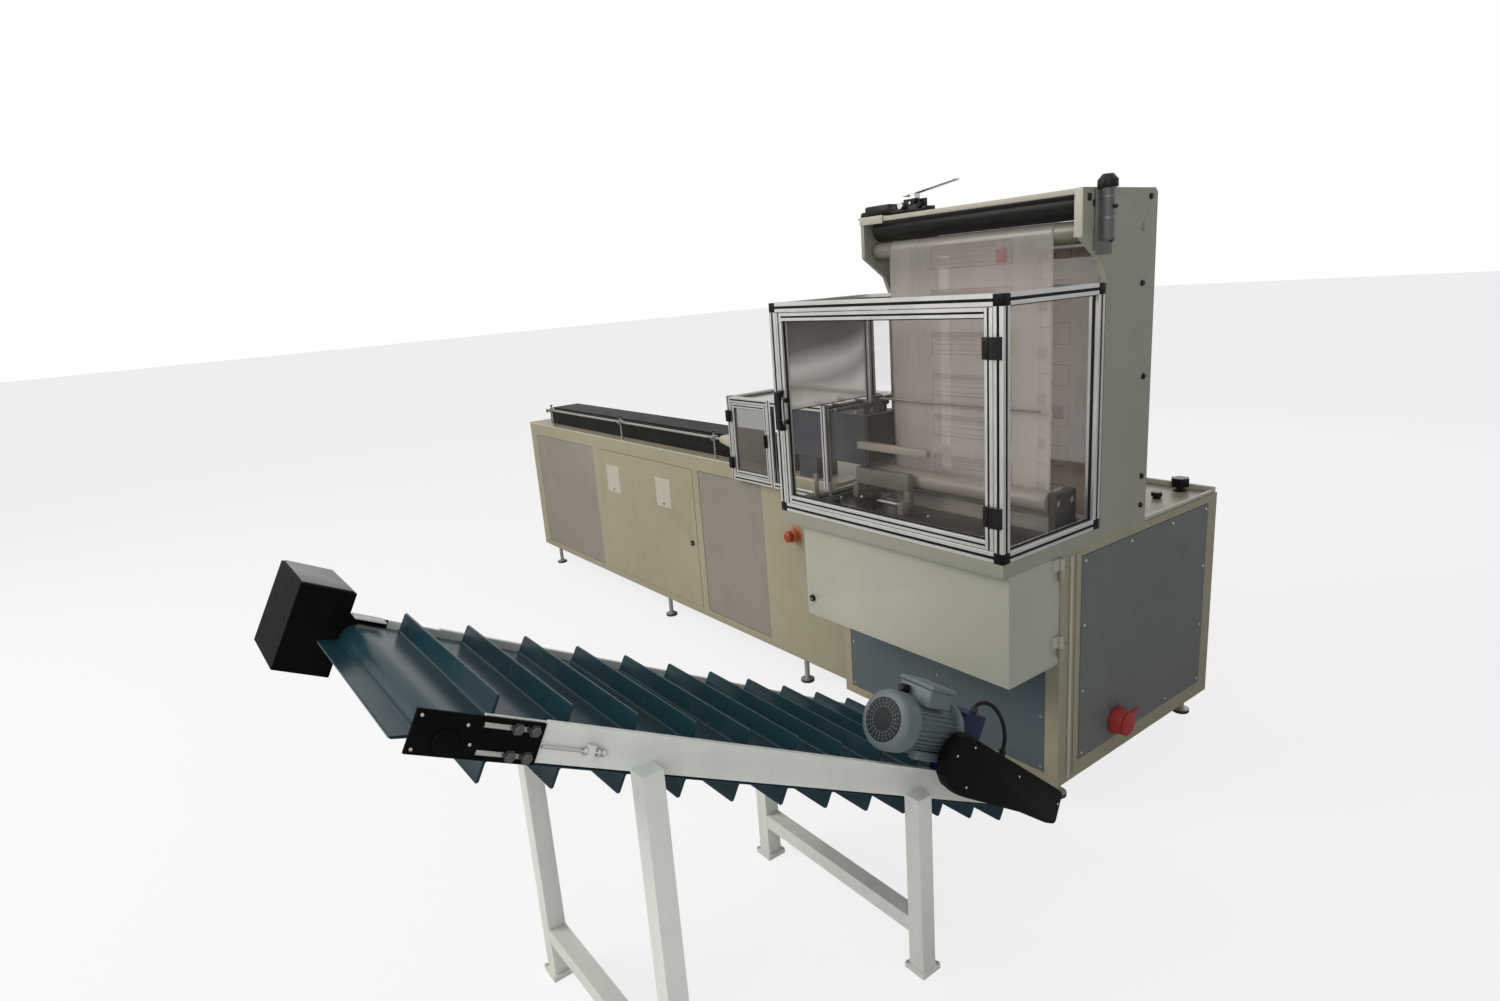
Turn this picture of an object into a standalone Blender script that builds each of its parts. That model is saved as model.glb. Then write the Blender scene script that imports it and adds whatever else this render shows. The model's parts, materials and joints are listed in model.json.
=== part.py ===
"""Side-fed vertical film wrapper with a cleated take-away conveyor.

Metres, +Z up. While it is drawn, x runs along the machine with 0 at its right end, y runs back
from the cabinets' front, and z is the height over the floor. The last step moves everything, so
that the origin is on the floor under the middle of the whole machine.
"""

import math

import bmesh
import bpy
from mathutils import Matrix, Vector

# ---------------------------------------------------------------- driving dimensions
GAP = 0.0003            # between pieces that touch
SEAM = 0.002            # round a door or panel in its opening

LINE_LENGTH = 3.60      # both cabinets together
MAIN_WIDTH = 0.90
MAIN_DEPTH = 0.885
MAIN_BOTTOM = 0.09
MAIN_TOP = 0.81
FEED_DEPTH = 0.56
FEED_BOTTOM = 0.13
FEED_TOP = 0.885
SHEET = 0.012           # cabinet walls
FOOT_RADIUS = 0.028
PANEL_THICK = 0.018
LIP = 0.014             # stop behind a door's edge

DOOR_LOW = 0.165
DOOR_HIGH = 0.815
LEFT_PANEL = (-3.52, -2.81)
CENTRE_DOOR = (-2.72, -1.85)
RIGHT_PANEL = (-1.80, -1.35)

BED_FRONT = -0.255      # front of the bed plate and of the main guard
BED_BACK = 0.186
BED_THICK = 0.037
SLOT_Y = 0.10           # the film hangs in this plane
SLOT_WIDTH = 0.05
WEB_LEFT, WEB_RIGHT = -0.705, -0.105
WEB_THICK = 0.0004

PROFILE = 0.030         # guard profiles
DOOR_PROFILE = 0.025
PANE = 0.004
GUARD_HEIGHT = 0.683
SMALL_LEFT = -1.488
SMALL_FRONT = -0.036
SMALL_LOW = 0.831
SMALL_HIGH = 1.168
SMALL_BACK = 0.34

BOX_FRONT = -0.226
BOX_LOW = 0.489
BOX_LEFT = -0.823
BOX_WALL = 0.003
BOX_HINGE = (0.010, -0.010)
BOX_HINGE_LEVELS = (0.510, 0.738)
BOX_KNUCKLE = 0.034

TOWER_TOP = 1.771
TOWER_WIDTH = 0.80
TOWER_BACK = 0.43
PLATE = 0.014           # tower side plates
CHEEK_FRONT = 0.07
CHEEK_LOW = 1.647
SHELF_TOP = TOWER_TOP + 0.0032  # carries the lift lever's bracket
NIP_RADIUS = 0.0375
IDLER_RADIUS = 0.028
IDLER_Y, IDLER_Z = SLOT_Y + 0.0285, 1.666
SHAFT_RADIUS = 0.010

REEL_RADIUS = 0.165
REEL_Z = 0.44
RISE_Y = 0.385          # the film rises in this plane behind the tower's front

WEB_PLANE = IDLER_Y - IDLER_RADIUS - GAP - WEB_THICK / 2
DRAW_RADIUS = 0.032
DRAW_Z = 0.935
DRAW_LEFT, DRAW_RIGHT = -0.800, -0.080
DRAW_REACH = DRAW_RADIUS + WEB_THICK / 2 + GAP

BELT_WIDTH = 0.50
SLOPE = math.radians(27.8)
BELT_CENTRES = 1.538
DRUM_RADIUS = 0.030
BELT_THICK = 0.003
CLEAT_HEIGHT = 0.038
CLEAT_COUNT = 25
CLEAT_PHASE = 0.0194    # first cleat past the tail drum's axis, along the carrying run
TAIL_Y, TAIL_Z = -0.3481, 0.2684
CONVEYOR_X = -0.158     # middle of the conveyor
FRAME_INSIDE = 0.262    # half the clear width between the side frames
FRAME_PLATE = 0.008
FRAME_RISE = 0.012      # side frames stand this far above the belt
FRAME_DEPTH = 0.066
LEG = 0.042
LEG_RUNS = (0.442, 1.19)  # along the slope from the tail axis

MATERIALS = {}


def material(name, colour, roughness=0.5, metallic=0.0, alpha=1.0):
    """One Principled material for each finish, made the first time it is asked for."""
    if name not in MATERIALS:
        made = bpy.data.materials.new(name)
        made.use_nodes = True
        shader = made.node_tree.nodes["Principled BSDF"]
        shader.inputs["Base Color"].default_value = (*colour, 1.0)
        shader.inputs["Roughness"].default_value = roughness
        shader.inputs["Metallic"].default_value = metallic
        shader.inputs["Alpha"].default_value = alpha
        MATERIALS[name] = made
    return MATERIALS[name]


def cream():
    return material("cream_paint", (0.52, 0.49, 0.39), 0.45)


def grey():
    return material("grey_paint", (0.36, 0.35, 0.31), 0.5)


def blue_grey():
    return material("blue_grey_paint", (0.16, 0.19, 0.22), 0.5)


def white():
    return material("white_paint", (0.62, 0.62, 0.56), 0.4)


def black():
    return material("black_plastic", (0.012, 0.012, 0.012), 0.45)


def black_steel():
    return material("black_sheet", (0.01, 0.01, 0.01), 0.35)


def aluminium():
    return material("aluminium", (0.72, 0.71, 0.68), 0.35, 0.9)


def steel():
    return material("steel", (0.6, 0.59, 0.56), 0.25, 1.0)


def clear():
    return material("clear_sheet", (0.75, 0.72, 0.68), 0.05, 0.0, 0.3)


def rubber():
    return material("black_rubber", (0.02, 0.02, 0.02), 0.55)


def belt_green():
    return material("belt", (0.02, 0.055, 0.075), 0.25)


# ---------------------------------------------------------------- solids
def mesh_object(name, mesh):
    made = bpy.data.objects.new(name, mesh)
    bpy.context.scene.collection.objects.link(made)
    return made


def solid(name, shape):
    """Turn a bmesh into an object, with its faces pointing out."""
    bmesh.ops.recalc_face_normals(shape, faces=shape.faces)
    mesh = bpy.data.meshes.new(name)
    shape.to_mesh(mesh)
    shape.free()
    return mesh_object(name, mesh)


def box(low, high):
    """A block between two corners."""
    shape = bmesh.new()
    bmesh.ops.create_cube(shape, size=1.0)
    size = [top - bottom for bottom, top in zip(low, high)]
    middle = [(top + bottom) / 2 for bottom, top in zip(low, high)]
    bmesh.ops.transform(shape, matrix=Matrix.Translation(middle) @ Matrix.Diagonal((*size, 1)),
                        verts=shape.verts)
    return solid("piece", shape)


AXES = {"x": (1, 2, 0), "y": (0, 2, 1), "z": (0, 1, 2)}


def extruded(outline, axis, start, end):
    """An outline, in the two directions across the axis, drawn out along the axis."""
    first, second, along = AXES[axis]
    shape = bmesh.new()
    rings = []
    for place in (start, end):
        ring = []
        for a, b in outline:
            point = [0.0, 0.0, 0.0]
            point[first], point[second], point[along] = a, b, place
            ring.append(shape.verts.new(point))
        rings.append(ring)
    count = len(outline)
    for i in range(count):
        shape.faces.new((rings[0][i], rings[0][(i + 1) % count],
                         rings[1][(i + 1) % count], rings[1][i]))
    shape.faces.new(rings[0])
    shape.faces.new(rings[1])
    return solid("piece", shape)


def turned(profile, centre, axis, sides=24):
    """A profile of (place along the axis, radius) pairs, turned round the axis."""
    shape = bmesh.new()
    first, second, along = AXES[axis]
    rings = []
    for place, radius in profile:
        ring = []
        for i in range(sides):
            angle = 2 * math.pi * i / sides
            point = list(centre)
            point[first] += radius * math.cos(angle)
            point[second] += radius * math.sin(angle)
            point[along] = place
            ring.append(shape.verts.new(point))
        rings.append(ring)
    for lower, upper in zip(rings, rings[1:]):
        for i in range(sides):
            shape.faces.new((lower[i], lower[(i + 1) % sides], upper[(i + 1) % sides], upper[i]))
    shape.faces.new(rings[0])
    shape.faces.new(rings[-1])
    return solid("piece", shape)


def rod(centre, axis, start, end, radius, sides=24):
    return turned([(start, radius), (end, radius)], centre, axis, sides)


def combined(pieces, cutters=()):
    """The union of the pieces, less the cutters, as one plain mesh."""
    base = pieces[0]
    helpers = list(pieces[1:]) + list(cutters)
    for helper in helpers:
        change = base.modifiers.new("join_or_cut", "BOOLEAN")
        change.operation = "DIFFERENCE" if helper in cutters else "UNION"
        change.solver = "EXACT"
        change.object = helper
    graph = bpy.context.evaluated_depsgraph_get()
    mesh = bpy.data.meshes.new_from_object(base.evaluated_get(graph))
    for used in [base] + helpers:
        bpy.data.objects.remove(used)
    return mesh_object("piece", mesh)


def node(name, piece, finish, pivot=(0.0, 0.0, 0.0)):
    """Name a finished piece and put its origin on its joint's axis."""
    piece.name = name
    piece.data.name = name
    piece.data.materials.clear()
    piece.data.materials.append(finish)
    piece.data.transform(Matrix.Translation(-Vector(pivot)))
    piece.location = pivot
    piece.data.shade_smooth()
    piece.data.set_sharp_from_angle(angle=math.radians(35))
    return piece


# ---------------------------------------------------------------- infeed cabinet
def feed_cabinet():
    """A long hollow case with three front openings, each with a stop lip for its panel."""
    left = -LINE_LENGTH
    right = -MAIN_WIDTH - GAP
    case = box((left, 0, FEED_BOTTOM), (right, FEED_DEPTH, FEED_TOP))
    inside = PANEL_THICK + SHEET
    cuts = [box((left + SHEET, inside, FEED_BOTTOM + SHEET),
                (right - SHEET, FEED_DEPTH - SHEET, FEED_TOP - SHEET))]
    for low_x, high_x in (LEFT_PANEL, CENTRE_DOOR, RIGHT_PANEL):
        cuts.append(box((low_x - SEAM, -0.01, DOOR_LOW - SEAM),
                        (high_x + SEAM, PANEL_THICK + GAP, DOOR_HIGH + SEAM)))
        cuts.append(box((low_x + LIP, 0.005, DOOR_LOW + LIP),
                        (high_x - LIP, inside + 0.01, DOOR_HIGH - LIP)))
    parts = [case]
    for x in (left + 0.07, (left + right) / 2, right - 0.30):
        for y in (0.06, FEED_DEPTH - 0.06):
            parts.append(turned([(0, FOOT_RADIUS), (0.012, FOOT_RADIUS), (0.018, 0.010),
                                 (FEED_BOTTOM + 0.01, 0.010)], (x, y, 0), "z", 12))
    node("feed_cabinet", combined(parts, cuts), cream())


def front_panels():
    """Two plain screwed panels and the hinged door between them."""
    for name, (low_x, high_x) in (("left_panel", LEFT_PANEL), ("right_panel", RIGHT_PANEL)):
        node(name, box((low_x, 0.0015, DOOR_LOW), (high_x, PANEL_THICK, DOOR_HIGH)), grey())

    low_x, high_x = CENTRE_DOOR
    leaf = box((low_x, -0.001, DOOR_LOW), (high_x, PANEL_THICK, DOOR_HIGH))
    plates = [box((x, -0.003, 0.602), (x + 0.130, 0.002, 0.742)) for x in (-2.664, -2.174)]
    latch_hole = rod((-1.890, 0, 0.468), "y", -0.01, PANEL_THICK + 0.01, 0.0105, 16)
    node("centre_door", combined([leaf] + plates, [latch_hole]), cream(), (low_x, -0.001, DOOR_LOW))
    latch = turned([(-0.011, 0.009), (-0.009, 0.012), (-0.0014, 0.012), (-0.0013, 0.0102),
                    (PANEL_THICK - 0.001, 0.0102)], (-1.890, 0, 0.468), "y", 16)
    node("centre_door_latch", latch, black(), (-1.890, 0, 0.468))


# ---------------------------------------------------------------- main cabinet
def main_cabinet():
    """The case under the tower: open at the bottom, with a drop opening in front."""
    left = -MAIN_WIDTH
    case = box((left, 0, MAIN_BOTTOM), (0, MAIN_DEPTH, MAIN_TOP))
    cuts = [
        box((left + SHEET, SHEET, MAIN_BOTTOM + SHEET), (-SHEET, MAIN_DEPTH - SHEET,
                                                         MAIN_TOP - SHEET)),
        box((left + 0.08, -0.01, BOX_LOW + 0.02), (-0.06, SHEET + 0.01, MAIN_TOP - 0.03)),
        box((left + 0.036, -0.01, MAIN_BOTTOM + 0.03), (-0.046, 0.0048, BOX_LOW - 0.004)),
        box((left + 0.036, -0.01, BOX_LOW - 0.014), (-0.046, SHEET + 0.01, BOX_LOW - 0.004)),
        box((left + 0.050, -0.01, MAIN_BOTTOM + 0.044), (-0.060, SHEET + 0.01, BOX_LOW - 0.012)),
        box((-0.0048, 0.10, 0.14), (0.01, MAIN_DEPTH - 0.055, 0.785)),
        box((-SHEET - 0.01, 0.10 + LIP, 0.14 + LIP), (0.01, MAIN_DEPTH - 0.055 - LIP,
                                                     0.785 - LIP)),
        box((WEB_LEFT - 0.04, SLOT_Y - SLOT_WIDTH / 2, MAIN_TOP - 0.05),
            (WEB_RIGHT + 0.04, SLOT_Y + SLOT_WIDTH / 2, MAIN_TOP + 0.01)),
        box((WEB_LEFT - 0.04, RISE_Y - 0.02, MAIN_TOP - 0.05),
            (WEB_RIGHT + 0.04, RISE_Y + 0.02, MAIN_TOP + 0.01)),
    ]
    parts = [case]
    for x in (left + 0.06, -0.06):
        for y in (0.09, MAIN_DEPTH - 0.045):
            parts.append(turned([(0, FOOT_RADIUS), (0.012, FOOT_RADIUS), (0.018, 0.010),
                                 (MAIN_BOTTOM + 0.01, 0.010)], (x, y, 0), "z", 12))
    hinge_x, hinge_y = BOX_HINGE
    for low in BOX_HINGE_LEVELS:
        parts.append(rod((hinge_x, hinge_y, 0), "z", low, low + BOX_KNUCKLE, 0.007, 12))
        parts.append(box((-0.0025, hinge_y + 0.001, low), (0.006, 0.030, low + BOX_KNUCKLE)))
    for x in (WEB_LEFT - 0.035, WEB_RIGHT + 0.035):
        parts.append(box((x - 0.012, RISE_Y + REEL_RADIUS - 0.03, REEL_Z - 0.10),
                         (x + 0.012, MAIN_DEPTH - SHEET / 2, REEL_Z - 0.0103)))
    node("main_cabinet", combined(parts, cuts), cream())


def cabinet_covers():
    """Blue-grey sheets: the front one folds in at its top as the slide under the drop opening."""
    left = -MAIN_WIDTH + 0.038
    right = -0.048
    top = BOX_LOW - 0.0055
    fold = [(0.001, MAIN_BOTTOM + 0.032), (0.001, top), (SHEET + 0.003, top),
            (0.24, top + 0.1615), (0.24, top + 0.1575), (SHEET + 0.004, top - 0.0035),
            (0.0045, top - 0.0035), (0.0045, MAIN_BOTTOM + 0.032)]
    node("lower_front_panel", extruded(fold, "x", left, right), blue_grey())
    hole = rod((0, 0.30, 0.199), "x", -0.03, 0.01, 0.0343, 24)
    cover = box((-0.0045, 0.102, 0.142), (0.0015, MAIN_DEPTH - 0.057, 0.783))
    node("right_end_cover", combined([cover], [hole]), blue_grey())


def bed_plate():
    """The thick plate that carries the guard, slotted for the film, with the draw rollers' blocks."""
    low = MAIN_TOP + GAP
    plate = box((-MAIN_WIDTH, BED_FRONT, low), (0, BED_BACK, low + BED_THICK))
    cuts = [box((WEB_LEFT - 0.04, SLOT_Y - SLOT_WIDTH / 2, low - 0.01),
                (WEB_RIGHT + 0.04, SLOT_Y + SLOT_WIDTH / 2, low + 0.05))]
    parts = [plate]
    for x in (DRAW_LEFT - 0.026, DRAW_RIGHT + 0.004):
        parts.append(box((x, WEB_PLANE - 0.050, low + BED_THICK - 0.002),
                         (x + 0.022, WEB_PLANE + 0.050, DRAW_Z + 0.030)))
        for side in (-1, 1):
            cuts.append(rod((0, WEB_PLANE + side * DRAW_REACH, DRAW_Z), "x", x - 0.01, x + 0.03,
                            SHAFT_RADIUS + GAP, 16))
    node("bed_plate", combined(parts, cuts), cream())


def drop_box():
    """A sheet hood, open behind and below, that swings about its right rear edge."""
    right = -0.003
    hinge_x, hinge_y = BOX_HINGE
    shell = box((BOX_LEFT, BOX_FRONT, BOX_LOW), (right, -0.002, MAIN_TOP - 0.002))
    hollow = box((BOX_LEFT + BOX_WALL, BOX_FRONT + BOX_WALL, BOX_LOW - 0.01),
                 (right - BOX_WALL, 0.01, MAIN_TOP - 0.002 - BOX_WALL))
    parts = [shell]
    for level in BOX_HINGE_LEVELS:
        low = level + BOX_KNUCKLE + GAP
        high = low + BOX_KNUCKLE
        parts.append(rod((hinge_x, hinge_y, 0), "z", low, high, 0.007, 12))
        parts.append(box((right - 0.001, -0.040, low), (0.006, hinge_y - 0.001, high)))
    hole = rod((BOX_LEFT + 0.028, 0, 0.549), "y", BOX_FRONT - 0.01, BOX_FRONT + 0.01, 0.0085, 16)
    node("drop_box", combined(parts, [hollow, hole]), white(), (hinge_x, hinge_y, BOX_LOW))
    latch = turned([(BOX_FRONT - 0.012, 0.008), (BOX_FRONT - 0.010, 0.011),
                    (BOX_FRONT - GAP, 0.011), (BOX_FRONT - 0.0002, 0.0082),
                    (BOX_FRONT + 0.020, 0.0082)], (BOX_LEFT + 0.028, 0, 0.549), "y", 16)
    node("drop_box_latch", latch, black(), (BOX_LEFT + 0.028, BOX_FRONT, 0.549))


def controls():
    """The emergency stop on the fascia and the red inlet low on the right end."""
    x, z = -1.14, 0.652
    shroud = turned([(-GAP, 0.026), (-0.024, 0.026), (-0.028, 0.022), (-0.028, 0.0105),
                     (-0.004, 0.0105)], (x, 0, z), "y", 24)
    node("emergency_stop_base", shroud, material("orange_base", (0.55, 0.12, 0.02), 0.4))
    head = turned([(-0.0103, 0.0102), (-0.034, 0.0102), (-0.036, 0.020), (-0.046, 0.021),
                   (-0.053, 0.017), (-0.056, 0.008)], (x, 0, z), "y", 24)
    node("emergency_stop_head", head, material("red_plastic", (0.65, 0.07, 0.02), 0.3),
         (x, -0.034, z))

    y, z = 0.30, 0.199
    body = turned([(-0.030, 0.034), (0.004, 0.034), (0.0041, 0.044), (0.010, 0.044),
                   (0.040, 0.036), (0.041, 0.030), (0.020, 0.029)], (0, y, z), "x", 24)
    lug = box((0.0305, y + 0.026, z + 0.010), (0.0405, y + 0.048, z + 0.024))
    node("inlet_body", combined([body, lug]), material("inlet_red", (0.45, 0.01, 0.012), 0.35))
    lid = turned([(0.0415, 0.038), (0.047, 0.038), (0.050, 0.030)], (0, y, z), "x", 24)
    ear = box((0.0415, y + 0.020, z + 0.028), (0.048, y + 0.052, z + 0.040))
    node("inlet_flap", combined([lid, ear]), black(), (0.0445, y + 0.052, z))


# ---------------------------------------------------------------- guards
def guard_levels():
    low = MAIN_TOP + GAP + BED_THICK + GAP
    return low, low + GUARD_HEIGHT


def box_frame(low, high, bar):
    """Twelve square bars along the edges of a box."""
    frame = box(low, high)
    cuts = []
    for along in range(3):
        cut_low = [value + bar for value in low]
        cut_high = [value - bar for value in high]
        cut_low[along] = low[along] - 0.01
        cut_high[along] = high[along] + 0.01
        cuts.append(box(cut_low, cut_high))
    return combined([frame], cuts)


def main_guard():
    """Profile frame with panes at left, right and top; the film passes behind the top pane."""
    low, high = guard_levels()
    left, right = -MAIN_WIDTH, 0.0
    back = 0.183
    node("guard_frame", box_frame((left, BED_FRONT, low), (right, back, high), PROFILE),
         aluminium())
    inner_low, inner_high = low + PROFILE + GAP, high - PROFILE - GAP
    front, rear = BED_FRONT + PROFILE + GAP, back - PROFILE - GAP
    middle = PROFILE / 2
    for name, x in (("guard_right_pane", right - middle), ("guard_left_pane", left + middle)):
        floor = inner_low if name == "guard_right_pane" else SMALL_HIGH + 0.010
        node(name, box((x - PANE / 2, front, floor), (x + PANE / 2, rear, inner_high)), clear())
    node("guard_top_pane", box((left + PROFILE + GAP, front, high - middle - PANE / 2),
                               (right - PROFILE - GAP, 0.055, high - middle + PANE / 2)), clear())


def guard_door():
    """Front door in a slimmer profile, hinged at its right edge."""
    low, high = guard_levels()
    left, right = -MAIN_WIDTH + PROFILE + SEAM, -PROFILE - SEAM
    low += PROFILE + SEAM
    high -= PROFILE + SEAM
    front, back = BED_FRONT, BED_FRONT + DOOR_PROFILE
    axis = (right + 0.001, front - 0.0065, low)
    frame = box((left, front, low), (right, back, high))
    window = box((left + DOOR_PROFILE, front - 0.01, low + DOOR_PROFILE),
                 (right - DOOR_PROFILE, back + 0.01, high - DOOR_PROFILE))
    node("guard_door_frame", combined([frame], [window]), aluminium(), axis)
    middle = (front + back) / 2
    pane = box((left + DOOR_PROFILE + GAP, middle - PANE / 2, low + DOOR_PROFILE + GAP),
               (right - DOOR_PROFILE - GAP, middle + PANE / 2, high - DOOR_PROFILE - GAP))
    node("guard_door_pane", pane, clear(), axis)

    grip_low, grip_high = 1.125, 1.255
    x = left + DOOR_PROFILE / 2
    grip = [(front - GAP, grip_low), (front - 0.030, grip_low + 0.012),
            (front - 0.030, grip_high - 0.012), (front - GAP, grip_high),
            (front - GAP, grip_high - 0.030), (front - 0.018, grip_high - 0.034),
            (front - 0.018, grip_low + 0.034), (front - GAP, grip_low + 0.030)]
    node("guard_door_handle", extruded(grip, "x", x - 0.011, x + 0.011), black(), axis)

    for name, height in (("guard_hinge_upper", high - 0.125), ("guard_hinge_lower", low + 0.065)):
        leaf = box((right + 0.006, front - 0.010, height), (-0.003, front - GAP, height + 0.055))
        barrel = rod((axis[0], axis[1], 0), "z", height, height + 0.055, 0.006, 12)
        node(name, combined([leaf, barrel]), black())


def small_guard():
    """The low guard over the infeed's end, with its own door and top pane."""
    left, right = SMALL_LEFT, -MAIN_WIDTH - 0.006
    bar = 0.022
    post_y = SMALL_FRONT
    front_bars = box((left, post_y, SMALL_LOW), (right, post_y + bar, SMALL_HIGH))
    window = box((left + bar, post_y - 0.01, SMALL_LOW + bar),
                 (right - bar, post_y + bar + 0.01, SMALL_HIGH - bar))
    rails = [box((x, post_y + 0.001, SMALL_HIGH - bar), (x + bar, SMALL_BACK, SMALL_HIGH))
             for x in (left, right - bar)]
    legs = [box((x, SMALL_BACK - bar, FEED_TOP + GAP), (x + bar, SMALL_BACK, SMALL_HIGH - 0.001))
            for x in (left, right - bar)]
    rear = box((left + 0.001, SMALL_BACK - bar, SMALL_HIGH - bar),
               (right - 0.001, SMALL_BACK, SMALL_HIGH))
    middle_post = box((-1.232, post_y, SMALL_LOW + 0.001), (-1.232 + bar, post_y + bar,
                                                            SMALL_HIGH - 0.001))
    door_left, door_right = left + bar + SEAM, -1.232 - SEAM
    door_low, door_high = SMALL_LOW + bar + SEAM, SMALL_HIGH - bar - SEAM
    axis = (door_left - 0.001, post_y - 0.0065, door_low)
    hinges = []
    for height in (door_high - 0.075, door_low + 0.025):
        hinges.append(box((left + 0.001, post_y - 0.010, height),
                          (door_left - 0.006, post_y + 0.002, height + 0.045)))
        hinges.append(rod((axis[0], axis[1], 0), "z", height, height + 0.045, 0.0065, 12))
    front = combined([front_bars], [window])
    node("small_guard_frame", combined([front, middle_post, *rails, *legs, rear, *hinges]),
         aluminium())

    frame = box((door_left, post_y, door_low), (door_right, post_y + 0.020, door_high))
    opening = box((door_left + 0.018, post_y - 0.01, door_low + 0.018),
                  (door_right - 0.018, post_y + 0.03, door_high - 0.018))
    node("small_guard_door_frame", combined([frame], [opening]), aluminium(), axis)
    pane = box((door_left + 0.018 + GAP, post_y + 0.008, door_low + 0.018 + GAP),
               (door_right - 0.018 - GAP, post_y + 0.012, door_high - 0.018 - GAP))
    node("small_guard_door_pane", pane, clear(), axis)
    top = box((left + bar + GAP, post_y + bar + GAP, SMALL_HIGH - 0.014),
              (right - bar - GAP, SMALL_BACK - bar - GAP, SMALL_HIGH - 0.010))
    node("small_guard_top_pane", top, clear())


# ---------------------------------------------------------------- tower
def plate_outline():
    """Side view of a tower plate: straight mast, forward cheek with a sloping underside."""
    low = MAIN_TOP + GAP
    front = BED_BACK + GAP
    return [(front, low), (TOWER_BACK, low), (TOWER_BACK, TOWER_TOP - 0.012),
            (TOWER_BACK - 0.012, TOWER_TOP), (CHEEK_FRONT, TOWER_TOP),
            (CHEEK_FRONT, CHEEK_LOW), (front - 0.024, 1.583), (front, 1.530)]


def tower():
    """Two side plates tied by three cross bars, bored for the roller shafts."""
    outline = plate_outline()
    left = -TOWER_WIDTH
    plates = [extruded(outline, "x", left, left + PLATE),
              extruded(outline, "x", -PLATE, 0)]
    inner = (left + PLATE / 2, -PLATE / 2)
    bars = [box((inner[0], CHEEK_FRONT + 0.001, TOWER_TOP - 0.015),
                (inner[1], CHEEK_FRONT + 0.010, TOWER_TOP - 0.001)),
            box((inner[0], TOWER_BACK - 0.024, 0.94), (inner[1], TOWER_BACK - 0.004, 0.97)),
            box((inner[0], TOWER_BACK - 0.024, 1.60), (inner[1], TOWER_BACK - 0.004, 1.63))]
    shelf_y = nip_axis()[0]
    shelf = box((left - 0.036, shelf_y - 0.030, TOWER_TOP - 0.0008),
                (left + 0.090, shelf_y + 0.030, SHELF_TOP))
    bores = [rod((0, y, z), "x", left - 0.01, 0.01, SHAFT_RADIUS + GAP, 16)
             for y, z in roller_axes()]
    node("tower_frame", combined(plates + bars + [shelf], bores), cream())


def nip_axis():
    """The nip roller rests on the film where it crosses the idler."""
    reach = NIP_RADIUS + IDLER_RADIUS + WEB_THICK + 2 * GAP
    lean = 0.006
    return IDLER_Y - lean, IDLER_Z + math.sqrt(reach ** 2 - lean ** 2)


def rear_idler_axis():
    return RISE_Y - IDLER_RADIUS - GAP - WEB_THICK / 2, IDLER_Z


def roller_axes():
    return [(IDLER_Y, IDLER_Z), nip_axis(), rear_idler_axis()]


def roller(name, axis, radius, left, right, shaft_left, shaft_right, finish, shaft=SHAFT_RADIUS):
    """A cylinder with a thinner shaft out of each end."""
    y, z = axis
    profile = [(shaft_left, shaft), (left, shaft), (left + 0.0005, radius),
               (right - 0.0005, radius), (right, shaft), (shaft_right, shaft)]
    node(name, turned(profile, (0, y, z), "x", 32), finish, ((left + right) / 2, y, z))


def tower_rollers():
    left, right = -TOWER_WIDTH + PLATE + 0.004, -PLATE - 0.004
    ends = (-TOWER_WIDTH + 0.001, -0.001)
    roller("film_idler", (IDLER_Y, IDLER_Z), IDLER_RADIUS, left, right, *ends, steel())
    roller("nip_roller", nip_axis(), NIP_RADIUS, left + 0.02, right - 0.002, *ends, rubber())
    roller("rear_idler", rear_idler_axis(), IDLER_RADIUS, left, right, *ends, steel())


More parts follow.
